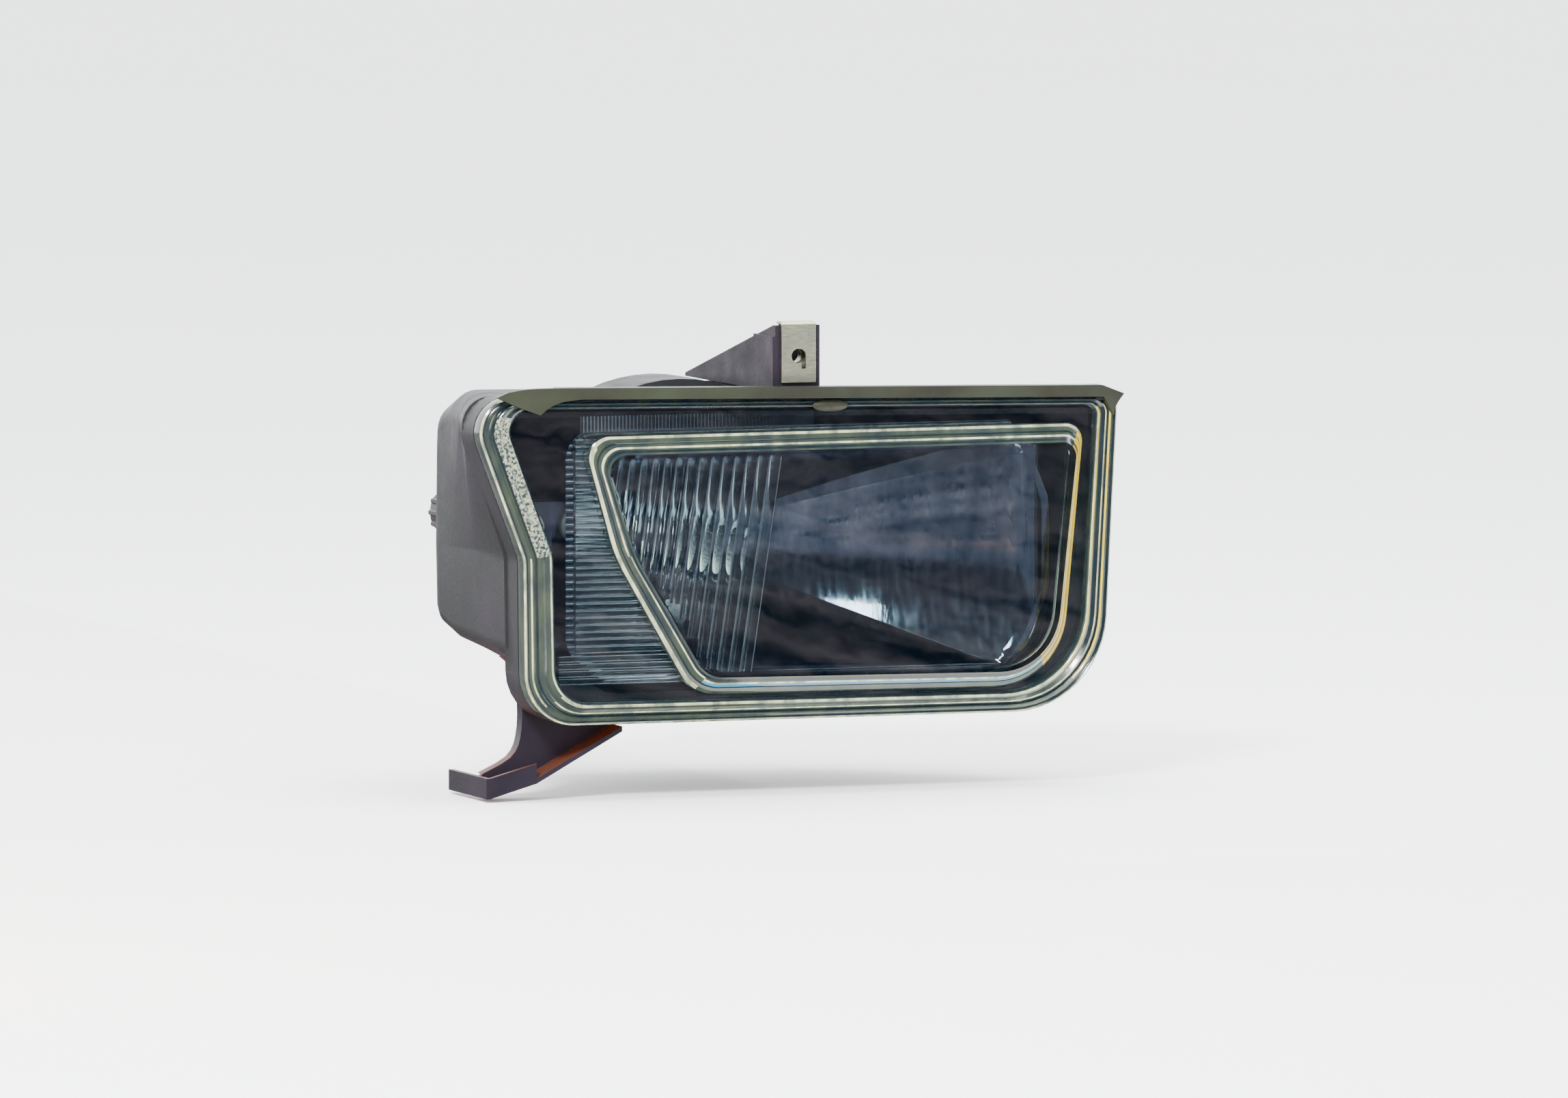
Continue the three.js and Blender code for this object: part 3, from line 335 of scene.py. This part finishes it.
def painted_reflection_glass(name, colour, other, grain_mm, see_through=0.35, roughness=0.2):
    """Steps of the pressed rim, painted in the colours the clear glass shows there: painted reflections and
    highlights.
    """
    shader = Shader(name, colour, roughness)
    shader.principled.inputs["Transmission Weight"].default_value = see_through
    shader.principled.inputs["IOR"].default_value = 1.5
    shader.principled.inputs["Coat Weight"].default_value = 0.6
    shader.principled.inputs["Coat Roughness"].default_value = 0.06
    shader.vary_colour(other, grain_mm, (1, 1, 0.5), 0.12).vary_roughness(0.08, 5)
    return shader.bump(0.03, 1.6).bump(0.06, 9, detail=1.0).material


def stippled_painted_glint_glass(name, colour, other):
    """A band of pressed pips, coloured in hard specks of light and dark: a painted reflection with painted
    glints.
    """
    shader = Shader(name, colour, 0.16)
    shader.principled.inputs["Coat Weight"].default_value = 0.8
    shader.vary_colour(other, 0.8, softness=0.08).vary_roughness(0.08, 2)
    return shader.bump(0.3, 0.8, detail=1.0).bump(0.1, 0.4).material


def mirror(name):
    """Vacuum-metallised mirror with fine vertical wipe marks; its coat is darkened to grey-blue as painted
    shade for the dark inside of the lamp.
    """
    shader = Shader(name, (0.38, 0.38, 0.43), 0.08, metallic=1.0)
    shader.vary_colour((0.13, 0.17, 0.23), 11, (1.6, 1, 0.4)).vary_roughness(0.06, 4, (3, 1, 0.4))
    return shader.bump(0.02, 2.2, (2.4, 1, 0.5)).material


BRACKET_PLASTIC = moulded("bracket_plastic", (0.014, 0.009, 0.017), (0.008, 0.007, 0.010))
# The leg and the housing carry painted warm light on the faces that look down, and the leg on the ones that
# look up as well.
LEG_PLASTIC = moulded("leg_plastic", (0.014, 0.009, 0.019), (0.007, 0.006, 0.010), warm_light_share=0.85, ledges=True)
HOUSING_PLASTIC = moulded("housing_plastic", (0.02, 0.019, 0.025), (0.013, 0.017, 0.015), warm_light_share=0.25)
TRIM_PLASTIC = moulded("trim_plastic", (0.022, 0.028, 0.016), (0.013, 0.012, 0.009), 0.4)
BLACK_PLASTIC = moulded("black_plastic", (0.02, 0.02, 0.023), (0.032, 0.031, 0.034), 0.5)
NYLON = moulded("nylon", (0.62, 0.6, 0.53), (0.7, 0.69, 0.64), 0.45)
RUBBER = rubber("seal_rubber")
# The greenish tint is the glass's own tone, deepened as painted shade that darkens the lamp's inside.
LENS_GLASS = clear_glass("lens_glass", (0.8, 0.88, 0.87), 0.02, (0.3, 0.4, 0.42))
# Ivory bands are painted highlights; green, dark, amber and blue bands are painted reflections, all on what
# is clear glass.
IVORY_HIGHLIGHT_GLASS = painted_reflection_glass("ivory_painted_highlight_glass", (0.5, 0.53, 0.33), (0.16, 0.2, 0.13), 3)
GREEN_REFLECTION_GLASS = painted_reflection_glass("green_painted_reflection_glass", (0.04, 0.055, 0.036), (0.02, 0.03, 0.03), 6)
DARK_REFLECTION_GLASS = painted_reflection_glass("dark_painted_reflection_glass", (0.004, 0.01, 0.016), (0.01, 0.016, 0.016), 5, 0.1)
AMBER_REFLECTION_GLASS = painted_reflection_glass("amber_painted_reflection_glass", (0.45, 0.32, 0.004), (0.3, 0.2, 0.01), 5)
BLUE_REFLECTION_GLASS = painted_reflection_glass("blue_painted_reflection_glass", (0.01, 0.2, 0.42), (0.06, 0.2, 0.22), 7)
# The stippled band's pale colour and its light and dark specks are a painted reflection with painted glints.
STIPPLED_GLINT_GLASS = stippled_painted_glint_glass("stippled_painted_glint_glass", (0.2, 0.23, 0.16), (0.015, 0.024, 0.026))
BULB_GLASS = clear_glass("bulb_glass", (0.96, 0.98, 0.99), 0.002, (0.9, 0.92, 0.93))
# The reflector's dark grey-blue is painted shade; bright aluminium would be far lighter.
SHADE_DARKENED_MIRROR = mirror("mirror_coat")
SHIELD_STEEL = plated("shield_bright_steel", (0.86, 0.85, 0.78), (0.6, 0.62, 0.6), 0.16)
ZINC = plated("yellow_zinc", (0.56, 0.54, 0.36), (0.42, 0.43, 0.33), 0.45)
STEEL = plated("bright_zinc", (0.56, 0.57, 0.6), (0.46, 0.47, 0.5))
BRASS = plated("brass", (0.66, 0.47, 0.2), (0.52, 0.36, 0.16))
RED_WIRE = rubber("red_insulation", (0.3, 0.025, 0.02))
BLACK_WIRE = rubber("black_insulation", (0.022, 0.022, 0.026))

CAD_FINISHES = {
    HOUSING_PLASTIC: ("housing",),
    BRACKET_PLASTIC: ("upper_bracket",),
    LEG_PLASTIC: ("lower_bracket",),
    TRIM_PLASTIC: ("top_trim", "trim_clip"),
    BLACK_PLASTIC: ("adjuster_knob", "rear_cap", "connector_socket"),
    NYLON: ("adjuster_nut",),
    RUBBER: ("lens_seal", "adjuster_bush", "cap_seal", "vent_elbow"),
    BULB_GLASS: ("bulb_glass",),
    SHADE_DARKENED_MIRROR: ("reflector",),
    SHIELD_STEEL: ("bulb_shield",),
    ZINC: ("upper_clip_nut",),
    STEEL: (
        "upper_bracket_screw_front",
        "upper_bracket_screw_rear",
        "lower_bracket_rivet_left",
        "lower_bracket_rivet_right",
        "pivot_pin_left",
        "pivot_pin_right",
        "bulb_base",
        "shield_rivet",
        "bulb_clip",
        "adjuster_screw",
        "adjuster_retainer",
    ),
    BRASS: ("bulb_terminal", "terminal_live", "terminal_ground"),
    RED_WIRE: ("live_lead",),
    BLACK_WIRE: ("ground_lead",),
}


def smoothing_group(angle_deg):
    """A modifier group that joins a CAD node's facets and shades it smooth up to an edge angle."""
    group = bpy.data.node_groups.new("smooth_by_angle", "GeometryNodeTree")
    group.interface.new_socket("Geometry", in_out="INPUT", socket_type="NodeSocketGeometry")
    group.interface.new_socket("Geometry", in_out="OUTPUT", socket_type="NodeSocketGeometry")
    start = group.nodes.new("NodeGroupInput")
    weld = group.nodes.new("GeometryNodeMergeByDistance")
    weld.inputs["Distance"].default_value = WELD * MM
    rounded_faces = group.nodes.new("GeometryNodeSetShadeSmooth")
    sharp_edges = group.nodes.new("GeometryNodeSetShadeSmooth")
    sharp_edges.domain = "EDGE"
    sharp_edges.inputs["Shade Smooth"].default_value = False
    angle = group.nodes.new("GeometryNodeInputMeshEdgeAngle")
    steep = group.nodes.new("FunctionNodeCompare")
    steep.operation = "GREATER_THAN"
    steep.inputs["B"].default_value = math.radians(angle_deg)
    end = group.nodes.new("NodeGroupOutput")
    group.links.new(start.outputs["Geometry"], weld.inputs["Geometry"])
    group.links.new(weld.outputs["Geometry"], rounded_faces.inputs["Geometry"])
    group.links.new(rounded_faces.outputs["Geometry"], sharp_edges.inputs["Geometry"])
    group.links.new(angle.outputs["Unsigned Angle"], steep.inputs["A"])
    group.links.new(steep.outputs["Result"], sharp_edges.inputs["Selection"])
    group.links.new(sharp_edges.outputs["Geometry"], end.inputs["Geometry"])
    return group


def finish_cad_nodes():
    """Gives each CAD node its material, rounds its edges and smooths it by angle."""
    smoothing = smoothing_group(SMOOTH_ANGLE)
    for material, names in CAD_FINISHES.items():
        for name in names:
            node = nodes[name]
            for slot in node.material_slots:
                slot.link = "OBJECT"
                slot.material = material
            node.modifiers.new("smooth", "NODES").node_group = smoothing
            flat = node.modifiers.new("merge_flats", "DECIMATE")
            flat.decimate_type = "DISSOLVE"
            flat.angle_limit = math.radians(FLAT_ANGLE)
            bevel = node.modifiers.new("edges", "BEVEL")
            bevel.width = EDGE_ROUND * MM
            bevel.segments = 2
            bevel.limit_method = "ANGLE"
            bevel.angle_limit = math.radians(ROUNDED_ANGLE)
            bevel.harden_normals = True


# ---------- lens ----------

# The lens has five sides, in this order: top, right, bottom, left, diagonal.
# Ridges of the pressed rim from its edge to the well: (share of the way, depth, glass on each side's strip
# up to the next ridge).
# Letter c is the clear glass and s the stippled band with painted glints; i, g, d, a and b are painted
# highlights and reflections.
RIM_PROFILE = [
    (0.0, 4.6, "gdggg"),
    (0.0, 1.6, "ggggg"),
    (0.03, 0.7, "giiii"),
    (0.09, 0.35, "ddggg"),
    (0.12, 0.5, "ddddd"),
    (0.17, 0.9, "dgggg"),
    (0.24, 0.55, "dggig"),
    (0.29, 0.45, "daggg"),
    (0.36, 0.8, "dddgg"),
    (0.41, 1.0, "ddddd"),
    (0.46, 0.5, "dgggs"),
    (0.52, 0.1, "giigs"),
    (0.57, 0.05, "ddggs"),
    (0.63, 0.35, "ddggs"),
    (0.7, 0.7, "dgggs"),
    (0.77, 0.5, "daigs"),
    (0.83, 0.3, "giiis"),
    (0.89, 0.5, "dgggg"),
    (0.93, 1.0, "ddddd"),
    (0.97, 1.9, "ddddd"),
    (1.0, WELL_Y, "ccccc"),
]
# The bezel's slope from its foot to the window's face: (share of the way, depth, glass on each side).
# Here too i, g, d, a and b are painted highlights and reflections on clear glass.
BEZEL_PROFILE = [
    (0.0, WELL_Y, "ddddd"),
    (0.06, 1.75, "iagii"),
    (0.19, 1.4, "gagii"),
    (0.25, 1.35, "gaggg"),
    (0.4, 1.3, "dgddd"),
    (0.47, 0.95, "gabgg"),
    (0.6, 0.75, "iaigi"),
    (0.7, 0.6, "gagig"),
    (0.78, 0.5, "dgddd"),
    (0.9, 0.3, "gaggg"),
    (1.0, WINDOW_FACE_Y, "ccccc"),
]
# Glasses by letter: the clear glass, then painted highlights, painted reflections and the painted glints of
# the stippled band.
EDGE_GLASSES = {
    "c": LENS_GLASS,
    "i": IVORY_HIGHLIGHT_GLASS,
    "g": GREEN_REFLECTION_GLASS,
    "d": DARK_REFLECTION_GLASS,
    "a": AMBER_REFLECTION_GLASS,
    "b": BLUE_REFLECTION_GLASS,
    "s": STIPPLED_GLINT_GLASS,
}
CORNER_STEPS = 12


def side_of(i):
    """Which side of the lens an outline's stretch belongs to; each corner is shared by its two sides."""
    corner, step = divmod(i, CORNER_STEPS + 1)
    return corner if step >= CORNER_STEPS / 2 else (corner - 1) % len(LENS_OUTLINE)


def lens_body():
    """The pressed glass without its flutes, and the letter of the glass on each of its faces."""
    edge = rounded(inset(LENS_OUTLINE, SHY), CORNER_STEPS)
    well = rounded(LENS_WELL, CORNER_STEPS)
    foot = rounded(WINDOW_FOOT, CORNER_STEPS)
    face = rounded(WINDOW_FACE, CORNER_STEPS)
    front = [at_depth(between(edge, well, share), y) for share, y, _ in RIM_PROFILE]
    front += [at_depth(between(foot, face, share), y) for share, y, _ in BEZEL_PROFILE]
    glasses = [row[2] for row in RIM_PROFILE + BEZEL_PROFILE]
    pocket = rounded(inset(WINDOW_FACE, 1), CORNER_STEPS)
    skirt_inner = rounded(inset(LENS_OUTLINE, 4.4), CORNER_STEPS)
    skirt_outer = rounded(inset(LENS_OUTLINE, 2), CORNER_STEPS)
    back = [
        at_depth(skirt_outer, RIM_PROFILE[0][1]),
        at_depth(skirt_outer, SKIRT_END_Y),
        at_depth(skirt_inner, SKIRT_END_Y),
        at_depth(skirt_inner, GLASS_BACK_Y),
        at_depth(pocket, GLASS_BACK_Y),
        at_depth(pocket, WINDOW_BACK_Y),
    ]
    verts, faces = rings_mesh(back[::-1] + front)
    count = len(edge)
    letters = []
    for verts_of_face in faces:
        ring = verts_of_face[0] // count - len(back)
        whole = len(verts_of_face) > 4
        letters.append("c" if whole or ring < 0 else glasses[ring][side_of(verts_of_face[0] % count)])
    return verts, faces, letters


def span(points, value, along):
    """Lowest and highest crossing of an outline with the line where one coordinate has that value."""
    other = 1 - along
    crossings = []
    for a, b in zip(points, points[1:] + points[:1]):
        if (a[along] - value) * (b[along] - value) < 0:
            share = (value - a[along]) / (b[along] - a[along])
            crossings.append(a[other] + share * (b[other] - a[other]))
    return min(crossings), max(crossings)


def flute(start, end, across, height, y, steps=6):
    """One closed half-round rod on the glass's back, from start to end, (x, z) points."""
    start, end = Vector(start), Vector(end)
    side = (end - start).normalized()
    side = Vector((side.y, -side.x)) * across / 2
    rings = []
    for centre in (start, end):
        ring = []
        for k in range(steps + 1):
            angle = math.pi * k / steps
            p = centre + side * math.cos(angle)
            ring.append((p.x, y + height * math.sin(angle), p.y))
        rings.append(ring)
    return rings_mesh(rings)


FIELD_LEFT_X = -64
FIELD_BOTTOM_Z = -24
FIELD_PITCH = 2.0
FIELD_COUNT = 30
LOW_LEFT_X = -69
LOW_TOP_Z = -26.5
LOW_PITCH = 2.1
LOW_COUNT = 4


def field_flutes():
    """Level flutes left of the window: a close field and a few wider-set ones below it."""
    back_y = GLASS_BACK_Y + AIR
    foot = rounded(WINDOW_FOOT)
    parts = []
    for k in range(FIELD_COUNT):
        z = FIELD_BOTTOM_Z + FIELD_PITCH * k
        right = span(foot, z, 1)[0] + 1.5
        parts.append(flute((FIELD_LEFT_X, z), (right, z), FIELD_PITCH * 0.98, 0.8, back_y))
    for k in range(LOW_COUNT):
        z = LOW_TOP_Z - LOW_PITCH * k
        right = span(foot, z, 1)[0] + 1
        parts.append(flute((LOW_LEFT_X, z), (right, z), 1.7, 0.7, back_y))
    return parts


WINDOW_FLUTE_X = -50
WINDOW_FLUTE_PITCH = 3.45
WINDOW_FLUTE_COUNT = 14
WINDOW_FLUTE_LEAN = 0.15
DIAGONAL_END_X = -38  # left of here a flute's foot meets the window's diagonal side


def window_flutes():
    """Leaning upright flutes behind the window's left half."""
    face = rounded(inset(WINDOW_FACE, 1.6))
    lean = WINDOW_FLUTE_LEAN
    parts = []
    for k in range(WINDOW_FLUTE_COUNT):
        x = WINDOW_FLUTE_X + WINDOW_FLUTE_PITCH * k
        low, high = span(face, x, 0)
        foot = span(face, x - lean * (high - low), 0)[0] if x > DIAGONAL_END_X else low
        start = (x - lean * (high - foot), foot)
        parts.append(flute(start, (x, high), WINDOW_FLUTE_PITCH * 0.98, 0.9, WINDOW_BACK_Y + AIR))
    return parts


BAND_LEFT_X = -62
BAND_Z = (36.8, 41.4)
BAND_PITCH = 1.05
BAND_COUNT = 66


def top_band():
    """Fine upright flutes above the window that grow shallower to the right."""
    low, high = BAND_Z
    parts = []
    for k in range(BAND_COUNT):
        x = BAND_LEFT_X + BAND_PITCH * k
        height = 0.35 * (1 - k / 80)
        parts.append(flute((x, low), (x, high), BAND_PITCH * 0.95, height, GLASS_BACK_Y + AIR, 4))
    return parts


def make_lens():
    """The whole lens as one glass object."""
    verts, faces, letters = lens_body()
    part = combined([(verts, faces)] + field_flutes() + window_flutes() + top_band())
    lens = add_object("lens_glass", part, LENS_GLASS, "housing_group")
    for glass in list(EDGE_GLASSES.values())[1:]:
        lens.data.materials.append(glass)
    order = list(EDGE_GLASSES)
    for face, letter in zip(lens.data.polygons, letters):
        face.material_index = order.index(letter)
        face.use_smooth = letter != "c"  # the flat panes keep true reflections
    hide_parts("lens")


# ---------- reflector ----------

FOCAL_LENGTH = 24
WIDE_SCALE = 1.38
VERTEX_Y = 60
LINER = 0.75  # how far the smooth mirror stands off the CAD bowl's flats
MIRROR_FRONT_Y = 10.2
MIRROR_RINGS = 24
MIRROR_CORNER_STEPS = 16
MIRROR_THICKNESS = 0.15
BULB_HOLE_RADIUS = 6.6


def bowl_y(x, z):
    """Depth of the elliptic paraboloid."""
    wide = (x - AXIS_X) / WIDE_SCALE
    return VERTEX_Y - LINER - (wide**2 + (z - AXIS_Z) ** 2) / (4 * FOCAL_LENGTH)


def make_mirror():
    """The bowl's mirrored inner face, smooth, from the bulb hole out to the walls and forward to its edge."""
    rim = rounded(inset(REFLECTOR_OPENING, 0.25), MIRROR_CORNER_STEPS)
    axis = Vector((AXIS_X, AXIS_Z))
    rings = []
    for k in range(MIRROR_RINGS + 1):
        share = (k / MIRROR_RINGS) ** 0.8
        ring = []
        for p in rim:
            way = p - axis
            hole = way.normalized() * BULB_HOLE_RADIUS
            q = axis + hole + (way - hole) * share
            ring.append((q.x, max(bowl_y(q.x, q.y), MIRROR_FRONT_Y), q.y))
        rings.append(ring)
    rings.append(at_depth(rim, MIRROR_FRONT_Y))
    liner = rings_mesh(rings, first_cap=False, last_cap=False)
    made = add_object("reflector_mirror", liner, SHADE_DARKENED_MIRROR, "reflector_group", 50)
    thick = made.modifiers.new("coat", "SOLIDIFY")
    thick.thickness = MIRROR_THICKNESS * MM
    thick.offset = -1


# ---------- camera, lights and floor ----------

CAMERA_AZIMUTH = -20
CAMERA_ELEVATION = 4.4
CAMERA_DISTANCE = 5.0
FOCAL_PER_METRE = 82.0  # millimetres of lens length for each metre of distance
AIM_RIGHT = -3.4
AIM_UP = 3.0


def make_camera():
    """A long lens from the lamp's left, a little above it."""
    azimuth = math.radians(CAMERA_AZIMUTH)
    elevation = math.radians(CAMERA_ELEVATION)
    back = Vector(
        (
            math.sin(azimuth) * math.cos(elevation),
            -math.cos(azimuth) * math.cos(elevation),
            math.sin(elevation),
        )
    )
    right = Vector((math.cos(azimuth), math.sin(azimuth), 0))
    up = back.cross(right)
    aim = lamp(0, 0, 0) + (right * AIM_RIGHT + up * AIM_UP) * MM
    data = bpy.data.cameras.new("camera")
    data.lens = FOCAL_PER_METRE * CAMERA_DISTANCE
    data.sensor_width = 36
    data.clip_end = 100
    camera = bpy.data.objects.new("camera", data)
    bpy.context.scene.collection.objects.link(camera)
    camera.location = aim + back * CAMERA_DISTANCE
    camera.rotation_euler = (-back).to_track_quat("-Z", "Y").to_euler()
    bpy.context.scene.camera = camera


def area_light(name, place, target, size, power, colour=(1, 1, 1), in_reflections=True):
    """A rectangular soft light; places are metres from the lamp's middle."""
    data = bpy.data.lights.new(name, "AREA")
    data.shape = "RECTANGLE"
    data.size, data.size_y = size
    data.energy = power
    data.color = colour
    light = bpy.data.objects.new(name, data)
    bpy.context.scene.collection.objects.link(light)
    middle = lamp(0, 0, 0)
    light.location = middle + Vector(place)
    way = Vector(target) - Vector(place)
    light.rotation_euler = way.to_track_quat("-Z", "Y").to_euler()
    light.visible_glossy = in_reflections
    light.visible_transmission = in_reflections


def plane(name, centre, half_x, half_y, turn, material, only_reflected=False):
    """A flat stage piece, in metres, that isn't part of the lamp; only_reflected keeps it from the camera."""
    mesh = bpy.data.meshes.new(name)
    corners = [(-half_x, -half_y, 0), (half_x, -half_y, 0), (half_x, half_y, 0), (-half_x, half_y, 0)]
    mesh.from_pydata(corners, [], [(0, 1, 2, 3)])
    mesh.materials.append(material)
    made = bpy.data.objects.new(name, mesh)
    bpy.context.scene.collection.objects.link(made)
    made.location = centre
    made.rotation_euler = turn
    if only_reflected:
        made.visible_camera = False
        made.visible_diffuse = False
        made.visible_shadow = False


FLOOR_DROP = 0.001  # the floor is this far under the lamp's lowest point, in metres
BENCH_LIFT = 0.0005


def make_studio():
    """A pale floor, soft lights, and dark cards that only show in the mirror and the glass."""
    world = bpy.data.worlds.new("world")
    world.use_nodes = True
    background = world.node_tree.nodes["Background"]
    background.inputs["Color"].default_value = (0.95, 0.97, 1.0, 1)
    background.inputs["Strength"].default_value = 3.4
    bpy.context.scene.world = world
    floor = Shader("floor", (0.92, 0.92, 0.92), 0.8)
    floor.vary_colour((0.91, 0.91, 0.912), 300).bump(0.05, 3)
    floor_z = cad_bounds[0][2] - FLOOR_DROP
    plane("floor", (0, 0, floor_z), 60, 60, (0, 0, 0), floor.material)
    card = Shader("card", (0.004, 0.009, 0.018), 0.9)
    card.principled.inputs["Specular IOR Level"].default_value = 0.0
    card.vary_colour((0.008, 0.014, 0.022), 400)
    upright = math.radians(90)
    plane("front_card", (0, -7, 3.0), 6, 3.2, (upright, 0, 0), card.material, True)
    plane("left_card", (-4, -3, 2.4), 4, 2.6, (upright, 0, upright), card.material, True)
    plane("right_card", (4, -4, 2.4), 3, 2.6, (upright, 0, upright), card.material, True)
    plane("roof_card", (0, -3.6, 4.8), 5, 3.4, (0, 0, 0), card.material, True)
    bench = Shader("bench", (0.006, 0.014, 0.028), 0.9)
    bench.principled.inputs["Specular IOR Level"].default_value = 0.0
    bench.vary_colour((0.12, 0.11, 0.13), 60, (2.5, 0.3, 1), 0.12)
    bench_z = floor_z + BENCH_LIFT
    plane("bench_card", (0, -3.72, bench_z), 6, 3.5, (0, 0, 0), bench.material, True)
    plane("bench_side", (-3, 0.78, bench_z), 3, 1, (0, 0, 0), bench.material, True)
    area_light("key", (-0.9, -1.2, 1.1), (0, 0, 0), (0.4, 0.3), 70)
    area_light("top", (0.1, 0.1, 1.4), (0, 0, 0), (1.4, 0.8), 34, (0.92, 1.0, 0.85))
    area_light("right_strip", (1.5, -2.2, 0.7), (0, 0, 0), (0.14, 1.2), 14, (0.8, 0.88, 1.0))
    area_light("warm_fill", (-0.6, -0.3, -0.03), (0, 0.05, -0.05), (0.4, 0.04), 4, (1.0, 0.38, 0.12), False)


make_camera()
finish_cad_nodes()
make_lens()
make_mirror()
make_studio()
